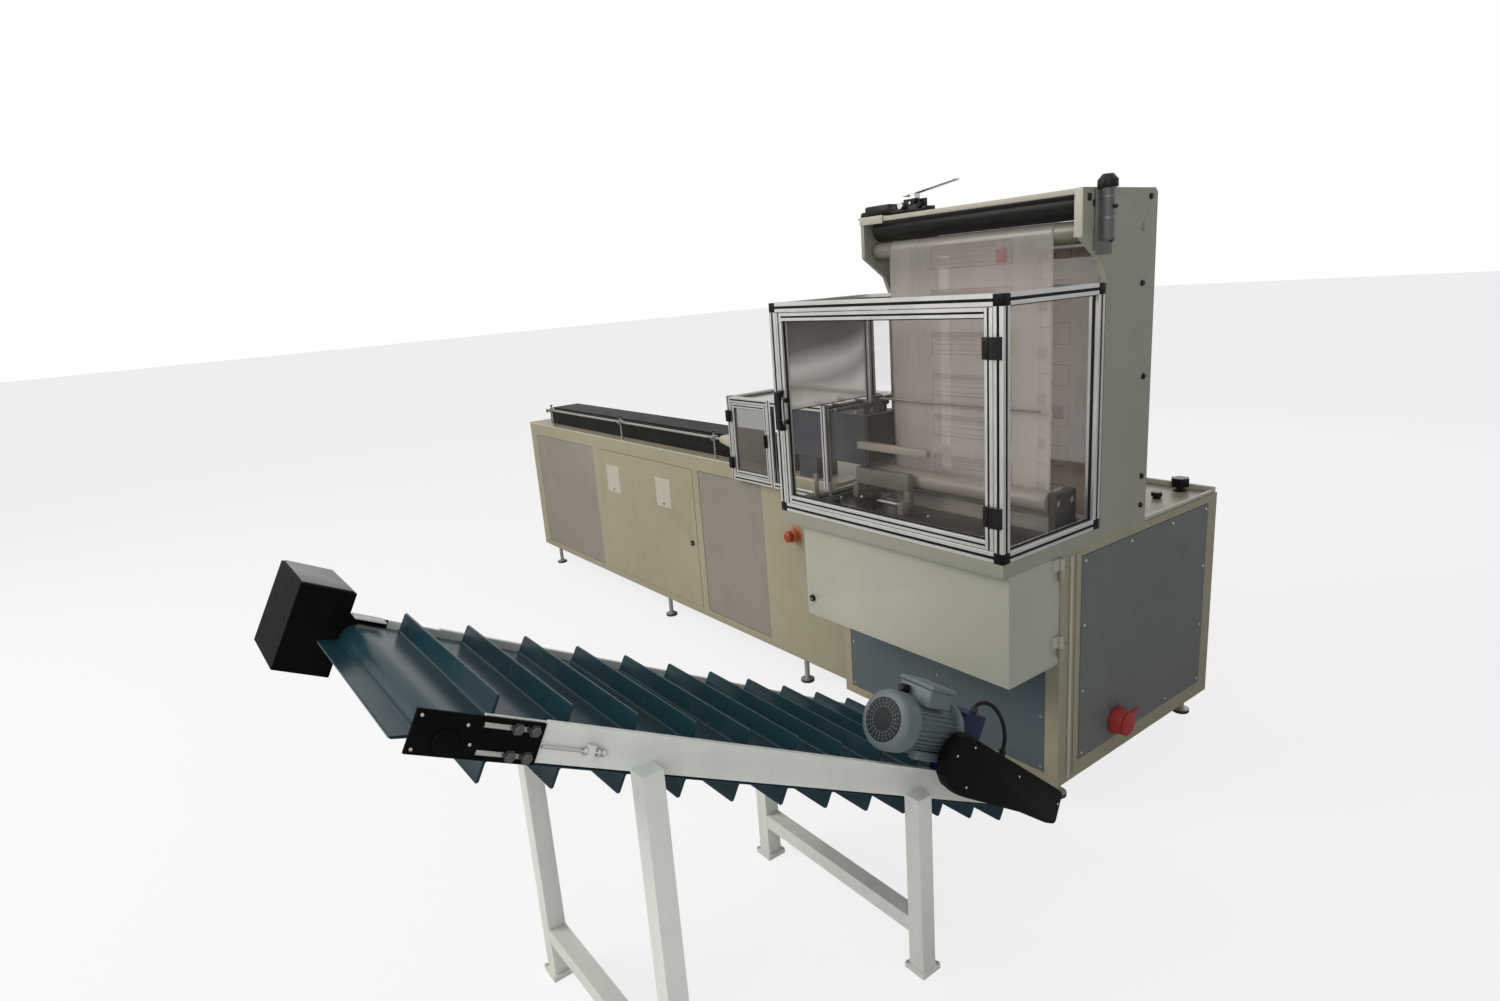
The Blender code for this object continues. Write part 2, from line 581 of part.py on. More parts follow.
def nip_lift():
    """Left: bracket and lift lever over the plate. Right: a short lift cylinder with a cap."""
    left = -TOWER_WIDTH
    y = nip_axis()[0]
    low = SHELF_TOP + GAP
    top = low + 0.012
    pivot = (left + 0.190, y, low + 0.026)
    outline = [(left + 0.250, low), (left + 0.250, top), (left - 0.020, top + 0.006),
               (left - 0.028, top + 0.001), (left - 0.030, low + 0.006), (left - 0.026, low)]
    bracket = extruded(outline, "y", y - 0.022, y + 0.022)
    cheeks = [box((pivot[0] - 0.030, y + near, top - 0.006), (pivot[0] + 0.030, y + far, pivot[2] + 0.012))
              for near, far in ((-0.021, -0.0145), (0.0145, 0.021))]
    pin_hole = rod(pivot, "y", y - 0.04, y + 0.04, 0.0043, 12)
    node("nip_lever_bracket", combined([bracket, *cheeks], [pin_hole]), black())
    hub = rod(pivot, "y", y - 0.0140, y + 0.0140, 0.0105, 16)
    pin = rod(pivot, "y", y - 0.026, y + 0.026, 0.0040, 12)
    neck = box((pivot[0] - 0.008, y - 0.0135, pivot[2]), (pivot[0] + 0.008, y + 0.0135,
                                                          pivot[2] + 0.028))
    blade = [(pivot[0] - 0.040, pivot[2] + 0.0215), (pivot[0] + 0.163, pivot[2] + 0.0475),
             (pivot[0] + 0.163, pivot[2] + 0.0500), (pivot[0] - 0.040, pivot[2] + 0.0240)]
    lever = extruded(blade, "y", y - 0.0142, y + 0.0142)
    node("nip_lever", combined([hub, pin, neck, lever]), steel(), pivot)

    body = turned([(CHEEK_LOW - 0.01, 0.010), (CHEEK_LOW, 0.017), (TOWER_TOP - 0.004, 0.017),
                   (TOWER_TOP - 0.003, 0.026), (TOWER_TOP + 0.016, 0.026),
                   (TOWER_TOP + 0.030, 0.014)], (0.018, 0.150, 0), "z", 20)
    foot = box((GAP, 0.135, CHEEK_LOW - 0.005), (0.012, 0.205, TOWER_TOP - 0.055))
    cut = box((-0.05, 0.05, CHEEK_LOW - 0.05), (GAP, 0.25, TOWER_TOP + 0.0005))
    node("nip_cylinder", combined([body, foot], [cut]), material("grey_cylinder",
                                                                (0.30, 0.31, 0.29), 0.4))


def arc(centre, radius, start, end, steps):
    """Points on an arc, with the angles in degrees from +y towards +z."""
    points = []
    for i in range(steps + 1):
        angle = math.radians(start + (end - start) * i / steps)
        points.append((centre[0] + radius * math.cos(angle), centre[1] + radius * math.sin(angle)))
    return points


def film_web():
    """The film, from the reel up behind, over both idlers and down through the bed plate."""
    half = WEB_THICK / 2
    reach = IDLER_RADIUS + GAP + half
    low_rear = REEL_Z
    front = (IDLER_Y, IDLER_Z)
    rear = rear_idler_axis()
    path = [(RISE_Y, low_rear)]
    path += arc(rear, reach, 0, 90, 6)
    path += arc(front, reach, 90, 180, 6)
    path += [(IDLER_Y - reach, DRAW_Z), (IDLER_Y - reach, 0.66)]
    one_side, other_side = [], []
    for i, (y, z) in enumerate(path):
        before = path[max(i - 1, 0)]
        after = path[min(i + 1, len(path) - 1)]
        along = Vector((after[0] - before[0], after[1] - before[1])).normalized()
        across = Vector((-along.y, along.x)) * half
        one_side.append((y + across.x, z + across.y))
        other_side.append((y - across.x, z - across.y))
    node("film_web", extruded(one_side + other_side[::-1], "x", WEB_LEFT, WEB_RIGHT),
         material("film", (0.72, 0.66, 0.62), 0.3, 0.0, 0.8))


def reel():
    """The film reel on its shaft, which lies in two forks at the back of the cabinet."""
    y = RISE_Y + REEL_RADIUS + WEB_THICK / 2 + GAP
    left, right = WEB_LEFT, WEB_RIGHT
    wound = rod((0, y, REEL_Z), "x", left, right, REEL_RADIUS, 40)
    bore = rod((0, y, REEL_Z), "x", left - 0.01, right + 0.01, 0.038, 24)
    node("film_reel", combined([wound], [bore]), material("film_roll", (0.7, 0.66, 0.6), 0.4),
         ((left + right) / 2, y, REEL_Z))
    profile = [(left - 0.055, 0.010), (left - 0.012, 0.010), (left - 0.010, 0.0376),
               (right + 0.010, 0.0376), (right + 0.012, 0.010), (right + 0.055, 0.010)]
    node("reel_shaft", turned(profile, (0, y, REEL_Z), "x", 24), steel(),
         ((left + right) / 2, y, REEL_Z))


def lobed_knob(name, x, y, radius, height, lobes):
    """A hand knob with finger lobes, standing on the cabinet top."""
    low = MAIN_TOP + GAP
    outline = []
    steps = lobes * 6
    for i in range(steps):
        angle = 2 * math.pi * i / steps
        reach = radius * (0.90 + 0.10 * math.cos(lobes * angle))
        outline.append((x + reach * math.cos(angle), y + reach * math.sin(angle)))
    grip = extruded(outline, "z", low + height * 0.35, low + height)
    stem = turned([(low, radius * 0.75), (low + 0.004, radius * 0.75), (low + 0.006, radius * 0.4),
                   (low + height * 0.6, radius * 0.4)], (x, y, 0), "z", 16)
    node(name, combined([grip, stem]), black(), (x, y, low))


# ---------------------------------------------------------------- inside the guard
def draw_rollers():
    """Two rollers that pull the film down, carried in the blocks on the bed plate."""
    for name, side in (("draw_roller_front", -1), ("draw_roller_rear", 1)):
        roller(name, (WEB_PLANE + side * DRAW_REACH, DRAW_Z), DRAW_RADIUS, DRAW_LEFT, DRAW_RIGHT,
               DRAW_LEFT - 0.024, DRAW_RIGHT + 0.024, steel())


def product_chute():
    """A rectangular tube up to the film's left edge, with a guide rod on a post over its mouth."""
    low, high = DRAW_Z + DRAW_RADIUS + 0.008, SMALL_HIGH - 0.024
    front, back = -0.012, 0.148
    right = WEB_LEFT - 0.02
    tube = box((-1.15, front, low), (right, back, high))
    foot = box((-1.12, front + 0.03, FEED_TOP + GAP), (-1.02, back - 0.03, low + 0.004))
    hollow = box((-1.2, front + 0.004, low + 0.004), (right + 0.01, back - 0.004, high - 0.004))
    y, z = WEB_PLANE - 0.024, high + 0.046
    post = box((right - 0.045, y - 0.012, high - 0.002), (right - 0.020, y + 0.012, z + 0.010))
    guide = rod((0, y, z), "x", right - 0.030, WEB_RIGHT - 0.02, 0.004, 12)
    node("product_chute", combined([tube, foot, post, guide], [hollow]),
         material("slate_paint", (0.07, 0.085, 0.11), 0.5))


def sealing_jaws():
    """Two heated bars under the bed plate, which close on the film from front and rear."""
    top = MAIN_TOP - SHEET - GAP
    for name, side in (("seal_jaw_front", -1), ("seal_jaw_rear", 1)):
        near = WEB_PLANE + side * 0.036
        far = near + side * 0.032
        bar = box((-0.80, min(near, far), top - 0.060), (-0.09, max(near, far), top))
        node(name, bar, steel())


# ---------------------------------------------------------------- infeed
FEED_LEFT = -3.40
FEED_RIGHT = -1.20
FEED_FRONT = 0.060
FEED_BACK = 0.245
FEED_DRUM = 0.022
FEED_AXIS_Z = FEED_TOP + 0.068


def loop_outline(start, end, height, radius, steps=16):
    """A belt's side view in (x, z): half a circle at each end."""
    points = []
    for centre, turn in ((end, -90), (start, 90)):
        for i in range(steps + 1):
            angle = math.radians(turn + 180 * i / steps)
            points.append((centre + radius * math.cos(angle), height + radius * math.sin(angle)))
    return points


def infeed():
    """A low belt on two rollers between side rails, with a guide rail on posts in front."""
    deck = FEED_TOP + GAP
    top = FEED_AXIS_Z + 0.020
    channel = [(FEED_FRONT, deck), (FEED_BACK, deck), (FEED_BACK, top), (FEED_BACK - 0.010, top),
               (FEED_BACK - 0.010, deck + 0.012), (FEED_FRONT + 0.010, deck + 0.012),
               (FEED_FRONT + 0.010, top), (FEED_FRONT, top)]
    sides = extruded(channel, "x", FEED_LEFT - 0.02, FEED_RIGHT + 0.02)
    bed = box((FEED_LEFT + 0.05, FEED_FRONT + 0.004, FEED_AXIS_Z - 0.010),
              (FEED_RIGHT - 0.05, FEED_BACK - 0.004, FEED_AXIS_Z + 0.016))
    bores = [rod((x, 0, FEED_AXIS_Z), "y", FEED_FRONT - 0.01, FEED_BACK + 0.01, 0.0064, 16)
             for x in (FEED_LEFT, FEED_RIGHT)]
    node("infeed_bed", combined([sides, bed], bores), black_steel())
    outer = extruded(loop_outline(FEED_LEFT, FEED_RIGHT, FEED_AXIS_Z, FEED_DRUM + 0.0025), "y",
                     FEED_FRONT + 0.014, FEED_BACK - 0.014)
    inner = extruded(loop_outline(FEED_LEFT, FEED_RIGHT, FEED_AXIS_Z, FEED_DRUM + GAP), "y",
                     FEED_FRONT, FEED_BACK)
    node("infeed_belt", combined([outer], [inner]), rubber())
    for name, x in (("infeed_tail_roller", FEED_LEFT), ("infeed_head_roller", FEED_RIGHT)):
        profile = [(FEED_FRONT + 0.001, 0.006), (FEED_FRONT + 0.013, 0.006),
                   (FEED_FRONT + 0.0135, FEED_DRUM), (FEED_BACK - 0.0135, FEED_DRUM),
                   (FEED_BACK - 0.013, 0.006), (FEED_BACK - 0.001, 0.006)]
        node(name, turned(profile, (x, 0, FEED_AXIS_Z), "y", 20), steel(),
             (x, (FEED_FRONT + FEED_BACK) / 2, FEED_AXIS_Z))
    y, z = 0.022, 0.972
    pieces = [rod((0, y, z), "x", FEED_LEFT + 0.02, -1.52, 0.006, 12),
              turned([(-1.62, 0.016), (-1.53, 0.033), (SMALL_LEFT - GAP, 0.036)], (0, y, z), "x")]
    for x in (-3.31, -2.50, -1.68):
        pieces.append(turned([(deck, 0.010), (deck + 0.004, 0.010), (deck + 0.005, 0.005),
                              (z + 0.001, 0.005)], (x, y, 0), "z", 10))
        pieces.append(box((x - 0.013, y - 0.010, z - 0.010), (x + 0.013, y + 0.010, z + 0.010)))
    node("infeed_guide_rail", combined(pieces), steel())


# ---------------------------------------------------------------- take-away conveyor
def on_slope(run, rise):
    """A point (y, z) at a run up the slope from the tail axis and a rise square to it."""
    y = TAIL_Y - run * math.cos(SLOPE) + rise * math.sin(SLOPE)
    z = TAIL_Z + run * math.sin(SLOPE) + rise * math.cos(SLOPE)
    return y, z


BELT_TOP = DRUM_RADIUS + GAP + BELT_THICK
MOTOR_X = CONVEYOR_X + FRAME_INSIDE + 0.006
MOTOR_RISE = BELT_TOP + 0.107
CHAIN_NEAR = MOTOR_X + 0.0715
CHAIN_CASE = 0.030      # thickness of the chain case


def belt_outline():
    """The belt's outer side with its cleats, as runs and rises about the tail axis."""
    straight = BELT_CENTRES
    bend = math.pi * BELT_TOP
    total = 2 * (straight + bend)
    half_cleat = 0.0025

    def place(travel, lift):
        """A point at a travel round the loop, lifted off the outer surface."""
        reach = BELT_TOP + lift
        travel %= total
        if travel < straight:
            return travel, reach
        travel -= straight
        if travel < bend:
            angle = math.pi / 2 - travel / BELT_TOP
            return straight + reach * math.cos(angle), reach * math.sin(angle)
        travel -= bend
        if travel < straight:
            return straight - travel, -reach
        travel -= straight
        angle = -math.pi / 2 - travel / BELT_TOP
        return reach * math.cos(angle), reach * math.sin(angle)

    marks = []
    pitch = total / CLEAT_COUNT
    cleats = [CLEAT_PHASE + pitch * i for i in range(CLEAT_COUNT)]
    for at in cleats:
        marks += [(at - half_cleat, 0), (at - half_cleat, CLEAT_HEIGHT),
                  (at + half_cleat, CLEAT_HEIGHT), (at + half_cleat, 0)]
    for start in (straight, 2 * straight + bend):
        for i in range(11):
            at = start + bend * i / 10
            if min(abs((at - cleat + total / 2) % total - total / 2) for cleat in cleats) > 0.006:
                marks.append((at % total, 0))
    order = sorted(range(len(marks)), key=lambda i: (round(marks[i][0], 9), i))
    return [place(*marks[i]) for i in order]


def conveyor_belt():
    """One moulded belt with upright cleats, round both drums."""
    outside = [on_slope(run, rise) for run, rise in belt_outline()]
    inside = []
    for centre, turn in ((BELT_CENTRES, -90), (0.0, 90)):
        for i in range(25):
            angle = math.radians(turn + 7.5 * i)
            reach = DRUM_RADIUS + GAP
            inside.append(on_slope(centre + reach * math.cos(angle), reach * math.sin(angle)))
    half = BELT_WIDTH / 2
    outer = extruded(outside, "x", CONVEYOR_X - half, CONVEYOR_X + half)
    inner = extruded(inside, "x", CONVEYOR_X - half - 0.01, CONVEYOR_X + half + 0.01)
    node("conveyor_belt", combined([outer], [inner]), belt_green())


def slope_box(runs, rises, xs):
    """A block square to the slope."""
    corners = [on_slope(run, rise) for run, rise in
               ((runs[0], rises[0]), (runs[1], rises[0]), (runs[1], rises[1]), (runs[0], rises[1]))]
    return extruded(corners, "x", *xs)


TAKE_UP_START = 1.385


def conveyor_frame():
    """Two side frames with return flanges, cross bars and four legs, welded as one."""
    top = BELT_TOP + FRAME_RISE
    rises = (top - FRAME_DEPTH, top)
    inner, outer = FRAME_INSIDE, FRAME_INSIDE + FRAME_PLATE
    parts = []
    for side in (-1, 1):
        xs = sorted((CONVEYOR_X + side * inner, CONVEYOR_X + side * outer))
        parts.append(slope_box((-0.055, TAKE_UP_START + 0.10), rises, xs))
    for run in (0.12, 0.81, 1.36):
        parts.append(slope_box((run, run + 0.03), (-0.016, 0.014),
                               (CONVEYOR_X - inner - 0.004, CONVEYOR_X + inner + 0.004)))
    for run in LEG_RUNS:
        y, z = on_slope(run, rises[0] + 0.030)
        for side in (-1, 1):
            x = CONVEYOR_X + side * (outer + LEG / 2 - 0.002)
            low_front = on_slope(run, top - 0.012)[1]
            parts.append(box((x - LEG / 2, y - LEG / 2, 0.012), (x + LEG / 2, y + LEG / 2,
                                                                low_front - 0.04)))
            parts.append(box((x - LEG / 2 - 0.008, y - LEG / 2 - 0.008, 0),
                             (x + LEG / 2 + 0.008, y + LEG / 2 + 0.008, 0.013)))
        low = 0.10
        parts.append(box((CONVEYOR_X - outer - 0.01, y - 0.02, low),
                         (CONVEYOR_X + outer + 0.01, y + 0.02, low + 0.04)))
    y, z = on_slope(0.0, 0.0)
    bores = [rod((0, y, z), "x", CONVEYOR_X - 0.4, CONVEYOR_X + 0.4, SHAFT_RADIUS + GAP, 16)]
    node("conveyor_frame", combined(parts, bores), white())


def conveyor_drums():
    half = BELT_WIDTH / 2
    ends = {"tail_drum": CHAIN_NEAR + 0.015, "head_drum": CONVEYOR_X + half + 0.023}
    for name, run in (("tail_drum", 0.0), ("head_drum", BELT_CENTRES)):
        roller(name, on_slope(run, 0.0), DRUM_RADIUS, CONVEYOR_X - half - 0.002,
               CONVEYOR_X + half + 0.002, CONVEYOR_X - half - 0.026, ends[name], steel())


def take_up():
    """Black plates bolted outside the frame's upper end, which carry the head drum."""
    top = BELT_TOP + FRAME_RISE - 0.001
    y, z = on_slope(BELT_CENTRES, 0.0)
    outer = FRAME_INSIDE + FRAME_PLATE + GAP
    for name, side in (("take_up_plate", 1), ("far_head_cover", -1)):
        xs = sorted((CONVEYOR_X + side * outer, CONVEYOR_X + side * (outer + 0.006)))
        plate = slope_box((TAKE_UP_START, BELT_CENTRES + 0.055), (top - FRAME_DEPTH - 0.002, top), xs)
        boss_xs = sorted((CONVEYOR_X + side * (FRAME_INSIDE + 0.001),
                          CONVEYOR_X + side * (outer + 0.003)))
        boss = rod((0, y, z), "x", *boss_xs, 0.022, 20)
        bore_xs = sorted((CONVEYOR_X + side * (FRAME_INSIDE - 0.01),
                          CONVEYOR_X + side * (outer + 0.010)))
        bore = rod((0, y, z), "x", *bore_xs, SHAFT_RADIUS + GAP, 16)
        pieces = [plate, boss]
        cuts = [bore]
        if side > 0:
            for rise in (top - 0.0138, top - FRAME_DEPTH + 0.0092):
                cuts.append(slope_box((TAKE_UP_START + 0.012, TAKE_UP_START + 0.102),
                                      (rise - 0.005, rise + 0.005), (0.10, 0.14)))
        else:
            hood_xs = (xs[0] - 0.200, xs[0] + 0.004)
            pieces.append(slope_box((BELT_CENTRES + 0.020, BELT_CENTRES + 0.12365),
                                    (top - 0.130, top + 0.040), hood_xs))
        node(name, combined(pieces, cuts), black_steel())


def drive():
    """Gearmotor along the slope, worm gearbox, and the chain case down to the tail drum."""
    profile = [(0.402, 0.050), (0.4025, 0.070), (0.416, 0.070), (0.4165, 0.058), (0.427, 0.062),
               (0.532, 0.062), (0.533, 0.066), (0.594, 0.066), (0.602, 0.058)]
    motor = turned([(run, radius) for run, radius in profile], (MOTOR_X, MOTOR_RISE, 0), "z", 28)
    lid = box((MOTOR_X - 0.045, MOTOR_RISE + 0.045, 0.442), (MOTOR_X + 0.045, MOTOR_RISE + 0.098,
                                                            0.527))
    motor = combined([motor, lid])
    motor.data.transform(slope_frame())
    node("drive_motor", motor, material("motor_grey", (0.26, 0.30, 0.32), 0.45, 0.2))

    case = box((MOTOR_X - 0.045, MOTOR_RISE - 0.055, 0.302), (MOTOR_X + 0.045, MOTOR_RISE + 0.055,
                                                             0.384))
    neck = turned([(0.377, 0.048), (0.390, 0.048), (0.391, 0.066), (0.4017, 0.066)],
                  (MOTOR_X, MOTOR_RISE, 0), "z", 24)
    foot = box((MOTOR_X - 0.013, MOTOR_RISE - 0.0945, 0.307), (MOTOR_X + 0.035,
                                                              MOTOR_RISE - 0.050, 0.377))
    flange = rod((0, MOTOR_RISE - 0.044, 0.350), "x", MOTOR_X + 0.040, CHAIN_NEAR - GAP, 0.036, 24)
    gearbox = combined([case, neck, foot, flange])
    gearbox.data.transform(slope_frame())
    node("worm_gearbox", gearbox, material("gearbox_blue", (0.012, 0.016, 0.09), 0.4))

    outline = [(0.358, 0.021), (0.402, 0.026), (0.442, 0.041), (0.467, 0.063), (0.476, 0.093),
               (0.470, 0.128), (0.448, 0.153), (0.423, 0.160), (-0.006, 0.065), (-0.026, 0.059),
               (-0.034, -0.014), (-0.027, -0.022), (0.010, -0.021), (0.137, 0.000)]
    outline = [on_slope(run, rise) for run, rise in outline]
    case = extruded(outline, "x", CHAIN_NEAR, CHAIN_NEAR + CHAIN_CASE)
    tail_y, tail_z = on_slope(0.0, 0.0)
    bore = rod((0, tail_y, tail_z), "x", CHAIN_NEAR - 0.01, CHAIN_NEAR + 0.020,
               SHAFT_RADIUS + GAP, 16)
    node("chain_guard", combined([case], [bore]), black_steel())


def slope_frame():
    """Matrix that puts a piece drawn with y as rise and z as run on to the slope."""
    y, z = on_slope(0.0, 0.0)
    cos, sin = math.cos(SLOPE), math.sin(SLOPE)
    return Matrix(((1, 0, 0, 0), (0, sin, -cos, y), (0, cos, sin, z), (0, 0, 0, 1)))


def motor_cable():
    """A short black lead from the gearbox's side over to the chain case, fixed at both ends."""
    top = MOTOR_RISE + 0.055 + 4 * GAP
    route = [(MOTOR_X + 0.020, 0.322, top), (MOTOR_X + 0.022, 0.318, top + 0.018),
             (MOTOR_X + 0.034, 0.306, top + 0.030), (MOTOR_X + 0.052, 0.292, top + 0.026),
             (MOTOR_X + 0.070, 0.276, top + 0.004), (MOTOR_X + 0.083, 0.266, top - 0.030),
             (MOTOR_X + 0.086, 0.262, top - 0.0692)]
    points = []
    for i in range(len(route) - 1):
        a, b = Vector(route[i]), Vector(route[i + 1])
        before = Vector(route[max(i - 1, 0)])
        after = Vector(route[min(i + 2, len(route) - 1)])
        for step in range(4):
            t = step / 4
            points.append(0.5 * ((2 * a) + (b - before) * t + (2 * before - 5 * a + 4 * b - after)
                                 * t ** 2 + (3 * a - before - 3 * b + after) * t ** 3))
    points.append(Vector(route[-1]))
    curve = bpy.data.curves.new("motor_cable", "CURVE")
    curve.dimensions = "3D"
    curve.bevel_depth = 0.0045
    curve.bevel_resolution = 2
    curve.use_fill_caps = True
    spline = curve.splines.new("POLY")
    spline.points.add(len(points) - 1)
    for place, (x, run, rise) in zip(spline.points, points):
        y, z = on_slope(run, rise)
        place.co = (x, y, z, 1)
    cable = bpy.data.objects.new("motor_cable", curve)
    curve.materials.append(rubber())
    bpy.context.scene.collection.objects.link(cable)


# ---------------------------------------------------------------- whole machine
def centre_on_floor():
    """Hang every piece on one empty, set so that the whole stands centred on the origin."""
    pieces = [thing for thing in bpy.context.scene.objects if thing.type in {"MESH", "CURVE"}]
    bpy.context.view_layer.update()
    corners = [thing.matrix_world @ Vector(corner) for thing in pieces for corner in thing.bound_box]
    middle = [(min(c[i] for c in corners) + max(c[i] for c in corners)) / 2 for i in (0, 1)]
    whole = bpy.data.objects.new("machine_origin", None)
    bpy.context.scene.collection.objects.link(whole)
    whole.location = (-middle[0], -middle[1], 0)
    for thing in pieces:
        thing.parent = whole


def build():
    for old in list(bpy.data.objects):
        bpy.data.objects.remove(old)
    feed_cabinet()
    front_panels()
    main_cabinet()
    cabinet_covers()
    bed_plate()
    drop_box()
    controls()
    main_guard()
    guard_door()
    small_guard()
    tower()
    tower_rollers()
    nip_lift()
    film_web()
    reel()
    lobed_knob("reel_brake_knob", -0.100, 0.835, 0.030, 0.045, 6)
    lobed_knob("reel_side_knob", -0.108, 0.700, 0.018, 0.022, 5)
    draw_rollers()
    product_chute()
    sealing_jaws()
    infeed()
    conveyor_frame()
    conveyor_belt()
    conveyor_drums()
    take_up()
    drive()
    motor_cable()
    centre_on_floor()


build()
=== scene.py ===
import json
import math
import random

import bmesh
import bpy
from mathutils import Matrix, Vector

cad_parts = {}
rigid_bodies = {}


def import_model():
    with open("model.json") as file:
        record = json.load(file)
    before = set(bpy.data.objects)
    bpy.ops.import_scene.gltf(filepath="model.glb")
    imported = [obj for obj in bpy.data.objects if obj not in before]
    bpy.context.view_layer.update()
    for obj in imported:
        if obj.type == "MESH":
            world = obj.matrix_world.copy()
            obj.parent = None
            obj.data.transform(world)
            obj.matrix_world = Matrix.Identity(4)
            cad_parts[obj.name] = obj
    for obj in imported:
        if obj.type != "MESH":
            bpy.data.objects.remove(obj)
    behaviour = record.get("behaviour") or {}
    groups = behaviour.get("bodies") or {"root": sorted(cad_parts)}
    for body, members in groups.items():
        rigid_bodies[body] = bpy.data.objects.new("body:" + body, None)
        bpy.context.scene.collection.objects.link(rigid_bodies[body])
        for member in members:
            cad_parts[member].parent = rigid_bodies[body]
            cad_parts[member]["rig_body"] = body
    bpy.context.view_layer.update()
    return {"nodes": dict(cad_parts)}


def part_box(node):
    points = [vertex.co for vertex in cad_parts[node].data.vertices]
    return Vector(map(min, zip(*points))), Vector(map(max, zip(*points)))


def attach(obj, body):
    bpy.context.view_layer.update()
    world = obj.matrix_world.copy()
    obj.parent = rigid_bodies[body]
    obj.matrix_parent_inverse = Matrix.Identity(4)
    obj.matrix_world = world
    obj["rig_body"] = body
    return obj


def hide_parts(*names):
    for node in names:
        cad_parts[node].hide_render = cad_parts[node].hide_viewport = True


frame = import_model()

# ---------------------------------------------------------------- infeed cabinet
# The long welded case that carries the infeed belt: folded sheet, sprayed cream, on screw feet.
# Its enamel is a little uneven, with dust towards the floor. Every drawn place in this script is
# in metres from the machine's right end, its front face and the floor.
RIGHT_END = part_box("bed_plate")[1].x
FRONT_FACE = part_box("left_panel")[0].y - 0.0015
ORIGIN = Vector((RIGHT_END, FRONT_FACE, 0))
TO_FRAME = Matrix.Translation(ORIGIN)
DULL = 0.10


def put(tree, kind, inputs=None, **settings):
    """Add a shader node with its settings, and give its inputs values or links."""
    made = tree.nodes.new(kind)
    for name, value in settings.items():
        setattr(made, name, value)
    for name, value in (inputs or {}).items():
        if isinstance(value, bpy.types.NodeSocket):
            tree.links.new(value, made.inputs[name])
        else:
            made.inputs[name].default_value = value
    return made


def mixed(tree, share, first, second, kind="MIX"):
    """A colour between two colours."""
    return put(tree, "ShaderNodeMix", {0: share, 6: first, 7: second}, data_type="RGBA",
               blend_type=kind).outputs[2]


def ramped(tree, value, low, high, start=0.0, end=1.0):
    """A value stretched from one range to another, and held at its ends."""
    return put(tree, "ShaderNodeMapRange", {0: value, 1: low, 2: high, 3: start, 4: end}).outputs[0]


def worked(tree, operation, *values):
    return put(tree, "ShaderNodeMath", dict(enumerate(values)), operation=operation).outputs[0]


def times(tree, *values):
    return worked(tree, "MULTIPLY", *values)


def plus(tree, *values):
    return worked(tree, "ADD", *values)


def less(tree, *values):
    return worked(tree, "SUBTRACT", *values)


def grain(tree, place, scale, detail=3.0, roughness=0.5, distortion=0.0):
    return put(tree, "ShaderNodeTexNoise", {"Vector": place, "Scale": scale, "Detail": detail,
               "Roughness": roughness, "Distortion": distortion}).outputs["Fac"]


def stretched(tree, place, scale, turn=(0, 0, 0)):
    """Object coordinates scaled along each axis, so that a grain runs in lines."""
    return put(tree, "ShaderNodeMapping", {"Vector": place, "Scale": scale,
               "Rotation": turn}).outputs[0]


def effect(name, inputs):
    """An empty shader node group for a colour, a roughness and a height, and its two ends."""
    tree = bpy.data.node_groups.new(name, "ShaderNodeTree")
    for label, kind, value in inputs:
        made = tree.interface.new_socket(label, in_out="INPUT", socket_type=kind)
        made.default_value = value
    for label, kind in (("Colour", "NodeSocketColor"), ("Roughness", "NodeSocketFloat"),
                        ("Height", "NodeSocketFloat")):
        tree.interface.new_socket(label, in_out="OUTPUT", socket_type=kind)
    return tree, tree.nodes.new("NodeGroupInput").outputs, tree.nodes.new("NodeGroupOutput").inputs


def finish_named(name):
    """A new material, its node tree and its shader."""
    made = bpy.data.materials.new(name)
    made.use_nodes = True
    return made, made.node_tree, made.node_tree.nodes["Principled BSDF"]


def raised(tree, shader, height, strength, distance):
    """Give a shader a fine relief from a height."""
    bump = put(tree, "ShaderNodeBump", {"Height": height, "Strength": strength, "Distance": distance})
    tree.links.new(bump.outputs[0], shader.inputs["Normal"])


def toned(tree, colour, shade):
    """A colour made lighter or darker by a shade."""
    grey = put(tree, "ShaderNodeCombineColor", {0: shade, 1: shade, 2: shade}).outputs[0]
    return mixed(tree, 1.0, colour, grey, "MULTIPLY")


